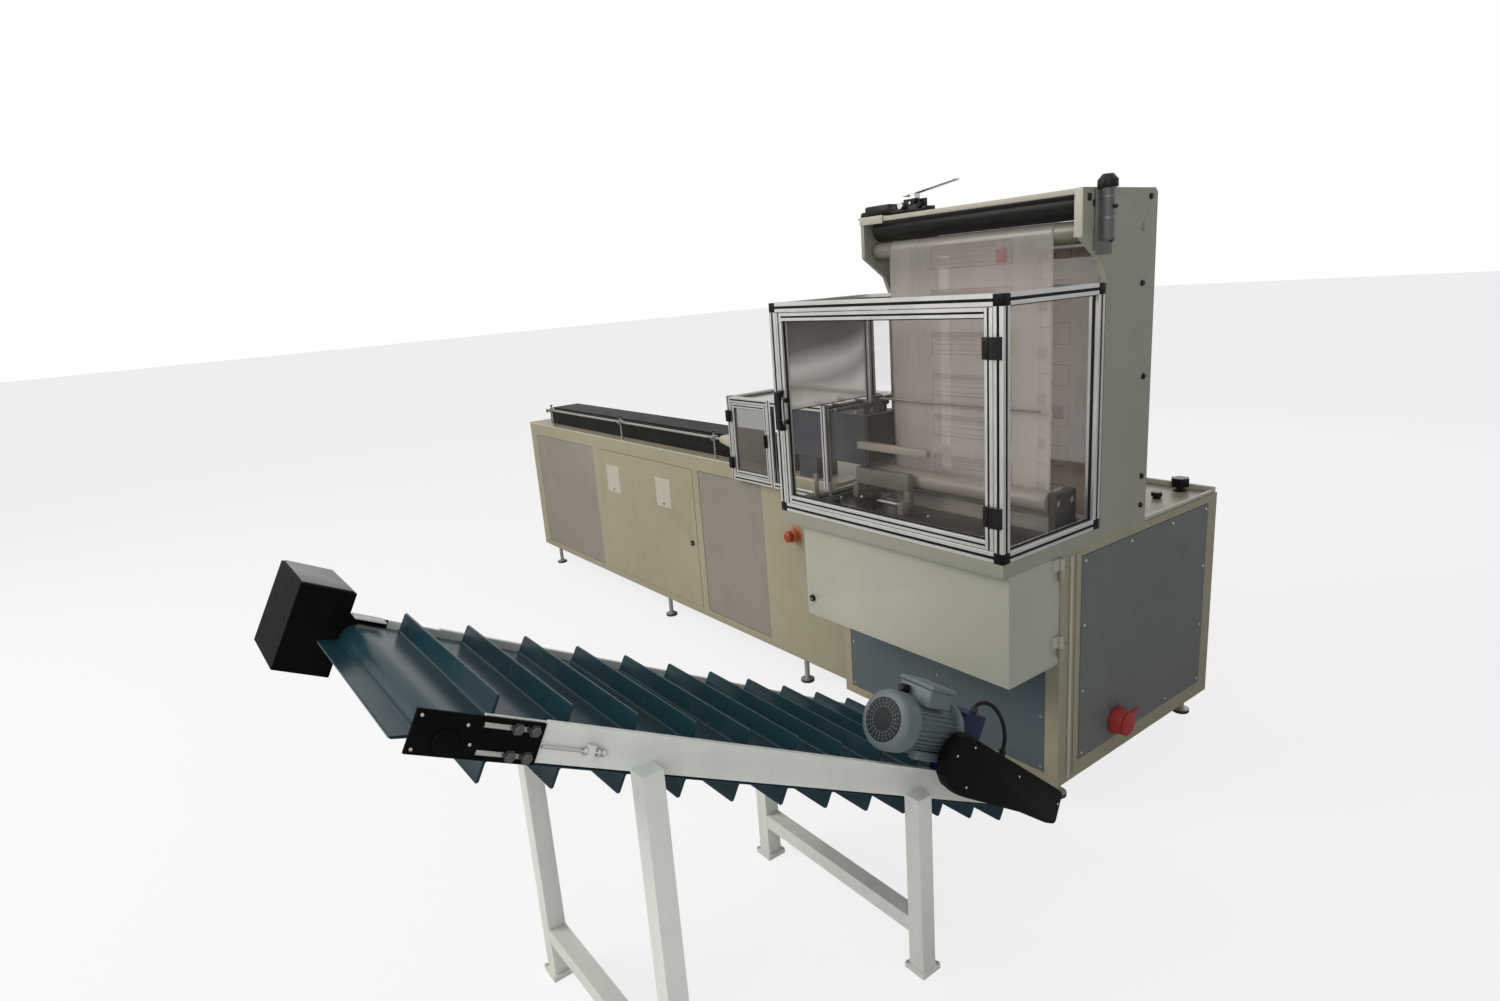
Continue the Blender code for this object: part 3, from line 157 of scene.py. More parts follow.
def shop_wear():
    """Uneven coat, smudges, run marks, dust near the floor, and the fine skin of the surface."""
    tree, given, out = effect("shop_wear", [
        ("Colour", "NodeSocketColor", (0.5, 0.5, 0.5, 1)), ("Roughness", "NodeSocketFloat", 0.45),
        ("Unevenness", "NodeSocketFloat", 0.08), ("Grime", "NodeSocketFloat", 0.3),
        ("Skin scale", "NodeSocketFloat", 650.0)])
    place = put(tree, "ShaderNodeTexCoord").outputs["Object"]
    height = put(tree, "ShaderNodeSeparateXYZ", {0: place}).outputs["Z"]
    broad = ramped(tree, grain(tree, place, 1.6, 4.0), 0.3, 0.7, -1.0, 1.0)
    shade = plus(tree, 1.0, times(tree, broad, given["Unevenness"]))
    coat = toned(tree, given["Colour"], shade)
    smudge = ramped(tree, grain(tree, place, 9.0, 7.0, 0.62), 0.52, 0.78)
    runs = ramped(tree, grain(tree, stretched(tree, place, (34, 34, 1.3)), 1.0, 3.0), 0.55, 0.8)
    dust = times(tree, ramped(tree, height, 0.0, 0.42, 1.0, 0.0),
                 ramped(tree, grain(tree, place, 22.0, 6.0, 0.7), 0.3, 0.7, 0.35, 1.0))
    dirt = plus(tree, times(tree, smudge, 0.45), times(tree, runs, 0.30))
    share = times(tree, dirt, given["Grime"])
    coat = mixed(tree, share, coat, (0.10, 0.085, 0.065, 1))
    coat = mixed(tree, times(tree, dust, given["Grime"]), coat, (0.19, 0.17, 0.14, 1))
    tree.links.new(coat, out["Colour"])
    dull = plus(tree, given["Roughness"], times(tree, smudge, 0.16))
    tree.links.new(plus(tree, dull, times(tree, dust, 0.25)), out["Roughness"])
    skin = plus(tree, grain(tree, place, given["Skin scale"], 1.0),
                times(tree, grain(tree, place, 28.0, 2.0), 3.0))
    tree.links.new(skin, out["Height"])
    return tree


SHOP_WEAR = shop_wear()


def from_effect(name, group, values, strength, rise):
    """A material that takes its colour, roughness and relief from a shared effect."""
    made, tree, shader = finish_named(name)
    given = put(tree, "ShaderNodeGroup", node_tree=group)
    for label, value in values.items():
        given.inputs[label].default_value = value
    tree.links.new(given.outputs["Colour"], shader.inputs["Base Color"])
    tree.links.new(given.outputs["Roughness"], shader.inputs["Roughness"])
    raised(tree, shader, given.outputs["Height"], strength, rise)
    return made, shader


def coated(name, colour, roughness=0.42, unevenness=0.07, grime=0.3, skin=650.0, rise=0.00012,
           metallic=0.0, specular=0.32):
    """A sprayed, moulded or cast surface with the shop's wear on it."""
    made, shader = from_effect(name, SHOP_WEAR, {
        "Colour": (*colour, 1), "Roughness": roughness, "Unevenness": unevenness, "Grime": grime,
        "Skin scale": skin}, 0.5, rise)
    shader.inputs["Metallic"].default_value = metallic
    shader.inputs["Specular IOR Level"].default_value = specular
    return made


def smooth_where_round(mesh):
    mesh.shade_smooth()
    mesh.set_sharp_from_angle(angle=math.radians(25))


def shown(name, mesh, body, replaces=()):
    """Make a finished mesh a piece on its body, and hide the CAD parts that it replaces."""
    made = bpy.data.objects.new(name, mesh)
    bpy.context.scene.collection.objects.link(made)
    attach(made, body)
    if replaces:
        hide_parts(*replaces)
    return made


def softened(node, name, finishes, width=0.0015, pick=None, segments=2):
    """A CAD piece with its sharp edges eased, as folded and sprayed sheet has them."""
    source = frame["nodes"][node]
    shape = bmesh.new()
    shape.from_mesh(source.data)
    bmesh.ops.remove_doubles(shape, verts=shape.verts, dist=2e-5)
    bmesh.ops.dissolve_limit(shape, angle_limit=math.radians(0.8), verts=shape.verts,
                             edges=shape.edges, use_dissolve_boundaries=False)
    mesh = bpy.data.meshes.new(name)
    shape.to_mesh(mesh)
    shape.free()
    helper = bpy.data.objects.new("eased", mesh)
    bpy.context.scene.collection.objects.link(helper)
    ease = helper.modifiers.new("ease", "BEVEL")
    ease.width = width
    ease.segments = segments
    ease.limit_method = "ANGLE"
    ease.angle_limit = math.radians(40)
    ease.use_clamp_overlap = True
    graph = bpy.context.evaluated_depsgraph_get()
    result = bpy.data.meshes.new_from_object(helper.evaluated_get(graph))
    bpy.data.objects.remove(helper)
    result.name = name
    result.materials.clear()
    for finish in finishes:
        result.materials.append(finish)
    if pick:
        for face in result.polygons:
            face.material_index = pick(face.center - ORIGIN)
    smooth_where_round(result)
    return shown(name, result, source["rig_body"], (node,))


cream_enamel = coated("cream_enamel", (0.355, 0.318, 0.222), 0.40, 0.07, 0.26)
zinc_plate = coated("zinc_plate", (0.42, 0.41, 0.39), 0.38, 0.1, 0.35, 220.0, 0.0001, metallic=0.9)
foot_rubber = coated("foot_rubber", (0.016, 0.016, 0.017), 0.6, 0.1, 0.5, 400.0, 0.0002, specular=DULL)


def case_foot(top):
    """Pick the finish on a case with feet: enamel above, zinc thread, rubber pad."""
    return lambda middle: 0 if middle.z > top else (2 if middle.z < 0.013 else 1)


softened("feed_cabinet", "infeed_case", [cream_enamel, zinc_plate, foot_rubber],
         0.003, case_foot(0.1295))

# ---------------------------------------------------------------- screws and what repeats
# Small fixings: each is one turned pattern set at many points, facing out of the sheet it holds.
# The same tree sets the belt's cleats, the motor's fins and the cover's slots.
FRONT, LEFT, RIGHT, UP = (0, -1, 0), (-1, 0, 0), (1, 0, 0), (0, 0, 1)


def set_at_points():
    """Geometry tree: a pattern at each point, turned to the point's facing and along vectors."""
    tree = bpy.data.node_groups.new("set_at_points", "GeometryNodeTree")
    for label, kind in (("Points", "NodeSocketGeometry"), ("Pattern", "NodeSocketObject"),
                        ("Finish", "NodeSocketMaterial")):
        tree.interface.new_socket(label, in_out="INPUT", socket_type=kind)
    tree.interface.new_socket("Pieces", in_out="OUTPUT", socket_type="NodeSocketGeometry")
    given = tree.nodes.new("NodeGroupInput").outputs
    out = tree.nodes.new("NodeGroupOutput").inputs
    pattern = put(tree, "GeometryNodeObjectInfo", {"Object": given["Pattern"]})
    facing, along = (put(tree, "GeometryNodeInputNamedAttribute", {"Name": label},
                         data_type="FLOAT_VECTOR") for label in ("facing", "along"))
    upright = put(tree, "FunctionNodeAlignRotationToVector", {"Vector": facing.outputs[0]},
                  axis="Z")
    turned_to = put(tree, "FunctionNodeAlignRotationToVector",
                    {"Rotation": upright.outputs[0], "Vector": along.outputs[0]},
                    axis="X", pivot_axis="Z")
    placed = put(tree, "GeometryNodeInstanceOnPoints",
                 {"Points": given["Points"], "Instance": pattern.outputs["Geometry"],
                  "Rotation": turned_to.outputs[0]})
    real = put(tree, "GeometryNodeRealizeInstances", {0: placed.outputs[0]})
    painted = put(tree, "GeometryNodeSetMaterial", {"Geometry": real.outputs[0],
                                                    "Material": given["Finish"]})
    tree.links.new(painted.outputs[0], out["Pieces"])
    return tree


SET_AT_POINTS = set_at_points()


def repeated(name, body, finish, pattern, places, facing, along=RIGHT):
    """Set one pattern at every place, as one plain mesh on one body."""
    facings = facing if isinstance(facing, list) else [facing] * len(places)
    points = bpy.data.meshes.new("points")
    points.from_pydata([TO_FRAME @ Vector(place) for place in places], [], [])
    for label, values in (("facing", facings), ("along", [along] * len(places))):
        held = points.attributes.new(label, "FLOAT_VECTOR", "POINT")
        held.data.foreach_set("vector", [part for value in values for part in value])
    base = bpy.data.objects.new("points", points)
    shape = bpy.data.objects.new("pattern", bpy.data.meshes.new("pattern"))
    pattern.to_mesh(shape.data)
    pattern.free()
    smooth_where_round(shape.data)
    for helper in (base, shape):
        bpy.context.scene.collection.objects.link(helper)
    change = base.modifiers.new("set", "NODES")
    change.node_group = SET_AT_POINTS
    sockets = {item.name: item.identifier for item in SET_AT_POINTS.interface.items_tree
               if item.in_out == "INPUT"}
    change[sockets["Pattern"]] = shape
    change[sockets["Finish"]] = finish
    graph = bpy.context.evaluated_depsgraph_get()
    mesh = bpy.data.meshes.new_from_object(base.evaluated_get(graph))
    mesh.name = name
    for helper in (base, shape):
        bpy.data.objects.remove(helper)
    return shown(name, mesh, body)


def skinned(shape, rings, endless=False):
    """Faces from each ring to the next, and a lid on both ends unless the rings run in a loop."""
    for one, two in zip(rings, rings[1:] + rings[:1] if endless else rings[1:]):
        for k in range(len(one)):
            after = (k + 1) % len(one)
            shape.faces.new((one[k], one[after], two[after], two[k]))
    if not endless:
        shape.faces.new(rings[0][::-1])
        shape.faces.new(rings[-1])
    return shape


def lathed(profile, sides=24):
    """Rings of (radius, height) joined into a closed turned shape round z."""
    shape = bmesh.new()
    angles = [2 * math.pi * i / sides for i in range(sides)]
    return skinned(shape, [[shape.verts.new((radius * math.cos(angle), radius * math.sin(angle), height))
                            for angle in angles] for radius, height in profile])


def cap_screw(radius, height):
    """A button-head screw with a socket: turned head, six-sided recess."""
    shape = lathed([(radius, 0), (radius, height * 0.45), (radius * 0.86, height * 0.85),
                    (radius * 0.62, height)], 12)
    shape.faces.ensure_lookup_table()
    lid = max(shape.faces, key=lambda face: face.calc_center_median().z)
    inset = bmesh.ops.inset_individual(shape, faces=[lid], thickness=radius * 0.22)
    bmesh.ops.translate(shape, verts=lid.verts, vec=(0, 0, -height * 0.55))
    return shape


def hex_bolt(radius, height):
    """A six-sided flanged head with a chamfered top."""
    return lathed([(radius * 1.25, 0), (radius * 1.25, height * 0.18), (radius, height * 0.18),
                   (radius, height * 0.85), (radius * 0.86, height)], 6)


screw_steel = coated("screw_steel", (0.50, 0.49, 0.47), 0.3, 0.08, 0.3, 300.0, 0.00006, metallic=0.95)
screw_black = coated("screw_black", (0.012, 0.012, 0.012), 0.35, 0.1, 0.2, 300.0, 0.00006,
                     specular=0.2)


def screwed(name, radius, height, places, facing, body="machine", finish=screw_steel):
    """Cap screws of one size, heads outwards."""
    repeated(name, body, finish, cap_screw(radius, height), places, facing)


# ---------------------------------------------------------------- front panels and centre door
# Two grey sheet panels screwed into the infeed case, and the cream door between them with two
# small cover plates riveted on and one quarter-turn latch.
grey_enamel = coated("grey_enamel", (0.262, 0.240, 0.205), 0.46, 0.08, 0.3, 420.0)
pale_plate = coated("pale_plate", (0.49, 0.465, 0.385), 0.42, 0.05, 0.12)


def corners(node):
    """A CAD piece's low and high corners, from the same origin as every drawn place."""
    return [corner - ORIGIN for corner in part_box(node)]


for panel in ("left_panel", "right_panel"):
    softened(panel, panel + "_sheet", [grey_enamel], 0.002)
    low, high = corners(panel)
    screwed(panel + "_screws", 0.0042, 0.0022,
            [(x, low.y, z) for x in (low.x + 0.018, high.x - 0.018)
             for z in (low.z + 0.02, (low.z + high.z) / 2, high.z - 0.02)], FRONT)

softened("centre_door", "centre_door_leaf", [cream_enamel, pale_plate], 0.0015,
         lambda middle: int(middle.y < -0.0012 and 0.59 < middle.z < 0.75))
COVER_PLATES = (-2.664, -2.174)
repeated("cover_plate_rivets", "centre_door", screw_steel,
         lathed([(0.003, 0), (0.003, 0.0006), (0.0018, 0.0014)], 10),
         [(x + dx, -0.003, z) for x in COVER_PLATES for dx in (0.009, 0.121) for z in (0.611, 0.733)],
         FRONT)
screwed("cover_plate_screws", 0.0045, 0.003, [(x + 0.065, -0.003, 0.618) for x in COVER_PLATES],
        FRONT, "centre_door", screw_black)


def pile(*shapes):
    """Several small shapes as one."""
    whole = bmesh.new()
    for shape in shapes:
        held = bpy.data.meshes.new("held")
        shape.to_mesh(held)
        shape.free()
        whole.from_mesh(held)
        bpy.data.meshes.remove(held)
    return whole


def block(low, high, rounding=0.001, finish=0, segments=2):
    """A block between two corners with eased edges."""
    shape = bmesh.new()
    bmesh.ops.create_cube(shape, size=1.0)
    size = [top - bottom for bottom, top in zip(low, high)]
    middle = [(top + bottom) / 2 for bottom, top in zip(low, high)]
    bmesh.ops.transform(shape, matrix=Matrix.Translation(middle) @ Matrix.Diagonal((*size, 1)),
                        verts=shape.verts)
    if rounding:
        bmesh.ops.bevel(shape, geom=shape.edges[:], offset=rounding, segments=segments,
                        profile=0.5, affect="EDGES", clamp_overlap=True)
    for face in shape.faces:
        face.material_index = finish
    return shape


def moved(shape, matrix, finish=None):
    bmesh.ops.transform(shape, matrix=matrix, verts=shape.verts)
    if finish is not None:
        for face in shape.faces:
            face.material_index = finish
    return shape


def aimed(shape, place, direction, finish=0):
    """A shape drawn up z, set at a place and turned to a direction."""
    turn = Vector(direction).to_track_quat("Z", "Y").to_matrix().to_4x4()
    return moved(shape, Matrix.Translation(place) @ turn, finish)


def bar(start, end, radius, sides=20, finish=0, edge=0.0006):
    """A round bar between two points with broken edges."""
    way = Vector(end) - Vector(start)
    profile = [(radius - edge, 0), (radius, edge), (radius, way.length - edge),
               (radius - edge, way.length)]
    return aimed(lathed(profile, sides), start, way, finish)


def assembled(name, body, finishes, shapes, replaces=()):
    """Put shapes together as one piece on its body."""
    whole = pile(*shapes)
    whole.transform(TO_FRAME)
    mesh = bpy.data.meshes.new(name)
    whole.to_mesh(mesh)
    whole.free()
    for finish in finishes:
        mesh.materials.append(finish)
    smooth_where_round(mesh)
    return shown(name, mesh, body, replaces)


# A pale round bar along the infeed case's top front edge: a painted highlight where the edge catches the
# light.
assembled("infeed_case_edge", "machine", [pale_plate], [
    bar((-3.5975, 0.0008, 0.8815), (-0.903, 0.0008, 0.8815), 0.0034, 12)])
latch_black = coated("latch_black", (0.010, 0.010, 0.010), 0.36, 0.1, 0.2, 500.0, specular=0.18)
assembled("centre_door_quarter_turn", "centre_door_latch",
          [latch_black, screw_steel],
          [aimed(lathed([(0.0102, -0.017), (0.0102, 0.0014), (0.012, 0.0014), (0.012, 0.0075),
                         (0.0105, 0.009)]), (-1.890, 0, 0.468), FRONT),
           block((-1.898, -0.0115, 0.4662), (-1.882, -0.0085, 0.4698), 0.0005, 1)],
          ["centre_door_latch"])

# ---------------------------------------------------------------- main cabinet
# The deep case under the tower, welded from sheet, with a blue-grey cover screwed into its right
# end and a blue-grey sheet in front that folds in as the slide below the drop opening.
slate_enamel = coated("slate_enamel", (0.082, 0.115, 0.140), 0.40, 0.08, 0.3, 420.0)
end_enamel = coated("end_cover_enamel", (0.135, 0.145, 0.150), 0.42, 0.08, 0.32, 420.0)
softened("main_cabinet", "main_case", [cream_enamel, zinc_plate, foot_rubber],
         0.003, case_foot(0.0895))
softened("right_end_cover", "right_end_sheet", [end_enamel], 0.0015)
frame["nodes"]["lower_front_panel"].data.materials[0] = slate_enamel
screwed("right_end_screws", 0.0045, 0.0024,
        [(0.0015, y, z) for y in (0.118, 0.36, 0.60, 0.812) for z in (0.158, 0.767)]
        + [(0.0015, y, z) for y in (0.118, 0.812) for z in (0.36, 0.57)], RIGHT)
screwed("lower_front_screws", 0.004, 0.002,
        [(x, 0.001, z) for x in (-0.85, -0.455, -0.06) for z in (0.135, 0.30)], FRONT)
# Edges of the main case: a pale bead up the right end's front corner and pale lips along the top's rear
# and right edges, with a cream strip beside the bead. The bead and lips are real edges, and their pale
# colour is a painted highlight.
assembled("case_edge_trim", "machine", [cream_enamel, pale_plate], [
    bar((0.0035, 0.046, 0.105), (0.0035, 0.046, 0.800), 0.0045, 16, 1),
    block((0.0002, 0.072, 0.110), (0.0034, 0.092, 0.798), 0.0012, 0),
    block((-0.898, 0.868, 0.8102), (-0.004, 0.884, 0.828), 0.003, 1),
    block((-0.0145, 0.215, 0.8102), (-0.0025, 0.868, 0.822), 0.003, 1)])

# ---------------------------------------------------------------- bed plate and drop box
# The thick machined plate under the guard, sprayed with the case, and the folded hood below it
# that lets wrapped products down to the conveyor; the hood swings on two knuckles.
hood_enamel = coated("hood_enamel", (0.440, 0.440, 0.365), 0.38, 0.05, 0.16)
block_dark = coated("bearing_block", (0.030, 0.030, 0.028), 0.38, 0.08, 0.3, specular=0.25)
cool_cream = coated("cool_cream_enamel", (0.325, 0.325, 0.262), 0.40, 0.07, 0.24)
softened("bed_plate", "bed_slab", [cool_cream, block_dark], 0.002,
         lambda middle: int(middle.z > 0.8485))
softened("drop_box", "drop_hood", [hood_enamel], 0.002)
assembled("drop_hood_latch", "drop_box_latch", [latch_black, screw_steel], [
    aimed(lathed([(0.0082, -0.020), (0.0082, 0.0002), (0.011, 0.0004), (0.011, 0.008),
                  (0.0095, 0.0095)]), (-0.795, -0.226, 0.549), FRONT),
    block((-0.803, -0.2385, 0.5475), (-0.787, -0.2350, 0.5505), 0.0005, 1)], ["drop_box_latch"])
assembled("drop_hood_seam", "drop_box", [hood_enamel], [
    block((-0.821, -0.2275, 0.4885), (-0.005, -0.2262, 0.494), 0.0005),
    block((-0.0032, -0.224, 0.4885), (-0.0016, -0.004, 0.494), 0.0005)])

# ---------------------------------------------------------------- controls
# A mushroom stop button on a moulded collar over its legend plate, and the mains inlet: a red
# moulded shroud with a sprung black flap, screwed low on the right end.
stop_orange = coated("stop_orange", (0.46, 0.12, 0.04), 0.36, 0.04, 0.15, 500.0)
stop_red = coated("stop_red", (0.34, 0.050, 0.018), 0.32, 0.04, 0.12, 500.0)
legend_plate = coated("legend_plate", (0.40, 0.22, 0.13), 0.45, 0.04, 0.2)
STOP = (-1.14, 0, 0.652)
assembled("stop_collar", "machine", [stop_orange, legend_plate, screw_black], [
    aimed(lathed([(0.0375, 0.0003), (0.0375, 0.0012), (0.036, 0.0018), (0.0262, 0.0018)], 40),
          STOP, FRONT, 1),
    aimed(lathed([(0.0262, 0.0014), (0.0262, 0.006), (0.0245, 0.008), (0.0245, 0.021),
                  (0.026, 0.0225), (0.026, 0.0265), (0.0235, 0.028), (0.0106, 0.028)], 40),
          STOP, FRONT, 0)], ["emergency_stop_base"])
assembled("stop_mushroom", "emergency_stop_head", [stop_red, stop_orange], [
    aimed(lathed([(0.0102, 0.0103), (0.0102, 0.034), (0.0185, 0.0352), (0.0208, 0.0372),
                  (0.0210, 0.0455), (0.0196, 0.0495), (0.0165, 0.0525), (0.0110, 0.0548),
                  (0.0045, 0.0559)], 40), STOP, FRONT, 0)], ["emergency_stop_head"])
inlet_red = coated("inlet_red_moulding", (0.40, 0.012, 0.014), 0.34, 0.05, 0.2, 500.0)
softened("inlet_body", "inlet_shroud", [inlet_red], 0.001)


def round_inlet(x, radius, angle):
    """A place round the inlet's axis."""
    return Vector((x, 0.30 + radius * math.cos(angle), 0.199 + radius * math.sin(angle)))


screwed("inlet_screws", 0.003, 0.002,
        [round_inlet(0.010, 0.0395, angle) for angle in (0.9, 2.3, 4.0, 5.4)], RIGHT)
softened("inlet_flap", "inlet_lid", [inlet_red], 0.0012)
HALF_RIB = Vector((0, 0.0015, 0.0015))
assembled("inlet_ribs", "machine", [inlet_red], [
    block(round_inlet(0.011, 0.0375, math.pi * i / 8) - HALF_RIB,
          round_inlet(0.030, 0.0375, math.pi * i / 8) + HALF_RIB, 0.0006) for i in range(3, 14)])

# ---------------------------------------------------------------- main guard
# A box of slotted aluminium profile with black strips pressed into its slots, moulded corner
# blocks, and clear panes in rubber. The slots run the whole length of each bar.
PROFILE = 0.030
GUARD_LOW, GUARD_HIGH = corners("guard_frame")
AXES = {"x": (1, 2, 0), "y": (0, 2, 1), "z": (0, 1, 2)}


def brushed():
    """Fine drawn lines along one axis, with a soft cloud in their tone and roughness."""
    tree, given, out = effect("drawn_metal", [
        ("Colour", "NodeSocketColor", (0.6, 0.6, 0.6, 1)), ("Roughness", "NodeSocketFloat", 0.3),
        ("Grain", "NodeSocketVector", (400.0, 400.0, 6.0))])
    place = put(tree, "ShaderNodeTexCoord").outputs["Object"]
    lines = grain(tree, stretched(tree, place, given["Grain"]), 1.0, 3.0, 0.6)
    cloud = grain(tree, place, 7.0, 4.0, 0.6)
    shade = plus(tree, ramped(tree, lines, 0.25, 0.75, 0.90, 1.06),
                 ramped(tree, cloud, 0.3, 0.7, -0.05, 0.05))
    tree.links.new(toned(tree, given["Colour"], shade), out["Colour"])
    tree.links.new(plus(tree, given["Roughness"],
                        plus(tree, ramped(tree, lines, 0.2, 0.8, -0.05, 0.08),
                             ramped(tree, cloud, 0.45, 0.75, 0.0, 0.10))), out["Roughness"])
    tree.links.new(lines, out["Height"])
    return tree


BRUSHED = brushed()


def metal(name, colour, roughness=0.3, grain_scale=(400.0, 400.0, 6.0), metallic=1.0):
    """Drawn, ground or turned metal."""
    made, shader = from_effect(name, BRUSHED, {
        "Colour": (*colour, 1), "Roughness": roughness, "Grain": grain_scale}, 0.4, 0.00003)
    shader.inputs["Metallic"].default_value = metallic
    return made


anodised = metal("anodised_profile", (0.60, 0.595, 0.58), 0.36, (300.0, 300.0, 300.0), 0.75)
strip_black = coated("slot_strip", (0.006, 0.006, 0.006), 0.45, 0.05, 0.1, 500.0, specular=DULL)


def quarter_turned(points, turn):
    """Points of a section, turned by a number of quarter turns."""
    cos, sin = (1, 0, -1, 0)[turn], (0, 1, 0, -1)[turn]
    return [(a * cos - b * sin, a * sin + b * cos) for a, b in points]


def slotted_outline(half, slot, depth, corner=0.0012):
    """Section of a profile: a square with a slot in the middle of each side."""
    quarter = [(half, -half + corner), (half, -slot), (half - depth, -slot), (half - depth, slot),
               (half, slot), (half, half - corner), (half - corner, half)]
    return [point for turn in range(4) for point in quarter_turned(quarter, turn)]


def drawn_out(outline, axis, start, end, centre, finish=0):
    """A section drawn out along an axis."""
    first, second, length = AXES[axis]
    shape = bmesh.new()
    rings = [[], []]
    for ring, place in zip(rings, (start, end)):
        for a, b in outline:
            point = [0.0, 0.0, 0.0]
            point[first], point[second], point[length] = centre[0] + a, centre[1] + b, place
            ring.append(shape.verts.new(point))
    skinned(shape, rings)
    bmesh.ops.recalc_face_normals(shape, faces=shape.faces)
    for face in shape.faces:
        face.material_index = finish
    return shape


def profile_bar(axis, start, end, centre, size=PROFILE, slot=0.0041):
    """One bar of slotted profile, with its black strips a little below the surface."""
    half = size / 2
    shapes = [drawn_out(slotted_outline(half, slot, 0.0042), axis, start, end, centre, 0)]
    strip = [(half - 0.0041, -slot + 0.0001), (half - 0.0011, -slot + 0.0001), (half - 0.0005, 0.0),
             (half - 0.0011, slot - 0.0001), (half - 0.0041, slot - 0.0001)]
    return shapes + [drawn_out(quarter_turned(strip, turn), axis, start + 0.0004, end - 0.0004,
                               centre, 1) for turn in range(4)]


def profile_box(low, high, size):
    """The twelve bars of a box frame and its eight moulded corner blocks."""
    shapes = []
    half = size / 2
    for axis, (first, second, length) in AXES.items():
        for a in (low[first] + half, high[first] - half):
            for b in (low[second] + half, high[second] - half):
                shapes += profile_bar(axis, low[length] + size, high[length] - size, (a, b), size)
    shrunk = Vector((0.0003, 0.0003, 0.0003))
    return shapes + [block(Vector((x, y, z)) + shrunk, Vector((x + size, y + size, z + size)) - shrunk,
                           0.0016, 1)
                     for x in (low[0], high[0] - size) for y in (low[1], high[1] - size)
                     for z in (low[2], high[2] - size)]


assembled("guard_profiles", "machine", [anodised, strip_black],
          profile_box(GUARD_LOW, GUARD_HIGH, PROFILE), ["guard_frame"])


def clear_sheet(name, colour, share):
    """Clear polycarbonate: slightly smoky and warm, with wipe marks in its gloss."""
    made, tree, shader = finish_named(name)
    place = put(tree, "ShaderNodeTexCoord").outputs["Object"]
    wipes = grain(tree, stretched(tree, place, (3.0, 3.0, 9.0), (0.4, 0.5, 0.2)), 1.0, 5.0, 0.6)
    specks = ramped(tree, grain(tree, place, 160.0, 2.0), 0.70, 0.80)
    tree.links.new(mixed(tree, ramped(tree, wipes, 0.35, 0.7), (*colour, 1),
                         (colour[0] * 1.25, colour[1] * 1.22, colour[2] * 1.2, 1)),
                   shader.inputs["Base Color"])
    tree.links.new(ramped(tree, wipes, 0.3, 0.75, 0.03, 0.13), shader.inputs["Roughness"])
    tree.links.new(plus(tree, ramped(tree, wipes, 0.3, 0.7, share - 0.04, share + 0.05),
                        times(tree, specks, 0.12)), shader.inputs["Alpha"])
    shader.inputs["Specular IOR Level"].default_value = 0.6
    return made


def painted_reflection_sheet():
    """Tinted sheet with a painted reflection: dark at its head, pale painted reflection bands lower down,
    and a clearer foot.
    """
    made = clear_sheet("polycarbonate_painted_reflection", (0.2, 0.2, 0.2), 0.5)
    tree = made.node_tree
    shader = tree.nodes["Principled BSDF"]
    place = put(tree, "ShaderNodeTexCoord").outputs["Object"]
    parts = put(tree, "ShaderNodeSeparateXYZ", {0: place}).outputs
    sway = times(tree, grain(tree, stretched(tree, place, (1, 2.2, 1.2)), 1.0, 1.0), 0.16)
    level = plus(tree, plus(tree, parts["Z"], sway),
                 times(tree, less(tree, parts["Y"], FRONT_FACE), -0.25))
    # The colour ramp paints a reflection into the sheet: darker and paler bands by height, swayed by a
    # noise.
    reflection_tones = put(tree, "ShaderNodeValToRGB", {0: ramped(tree, level, 1.06, 1.65)})
    reflection_stops = ((0.0, 0.22), (0.12, 0.42), (0.24, 1.0), (0.44, 1.0), (0.54, 0.58), (0.63, 0.85),
             (0.74, 0.24), (1.0, 0.075))
    ramp = reflection_tones.color_ramp
    ramp.elements[0].position, ramp.elements[1].position = reflection_stops[0][0], reflection_stops[-1][0]
    for at, tone in reflection_stops[1:-1]:
        ramp.elements.new(at)
    for element, (at, tone) in zip(ramp.elements, reflection_stops):
        element.color = (tone, tone * 0.95, tone * 0.87, 1)
    tree.links.new(reflection_tones.outputs[0], shader.inputs["Base Color"])
    # The painted reflection's tone also sets how opaque the sheet is: its dark head is more opaque than
    # its pale bands.
    cover = less(tree, 0.97, times(tree, reflection_tones.outputs[0], 0.50))
    tree.links.new(worked(tree, "MINIMUM", ramped(tree, level, 1.00, 1.24, 0.20, 0.95), cover),
                   shader.inputs["Alpha"])
    return made


polycarbonate = clear_sheet("guard_polycarbonate", (0.21, 0.185, 0.160), 0.065)
smoked = clear_sheet("smoked_polycarbonate", (0.130, 0.122, 0.106), 0.50)
# The left pane takes the sheet with the painted reflection.
for pane, sheet in (("guard_right_pane", polycarbonate), ("guard_left_pane", painted_reflection_sheet()),
                    ("guard_top_pane", polycarbonate)):
    softened(pane, pane + "_sheet", [sheet], 0.0006)
gasket = coated("pane_gasket", (0.008, 0.008, 0.008), 0.6, 0.05, 0.15, 400.0, specular=DULL)


def rubber_round(axis, low, high, level, width=0.0028, depth=0.0036):
    """A four-sided rubber strip round a pane that lies across an axis."""
    first, second, length = AXES[axis]
    shapes = []
    for a, b in ((first, second), (second, first)):
        for edge in (low[b], high[b] - width):
            corner_low, corner_high = [0.0] * 3, [0.0] * 3
            corner_low[a], corner_high[a] = low[a], high[a]
            corner_low[b], corner_high[b] = edge, edge + width
            corner_low[length], corner_high[length] = level - depth, level + depth
            shapes.append(block(corner_low, corner_high, 0.0006))
    return shapes


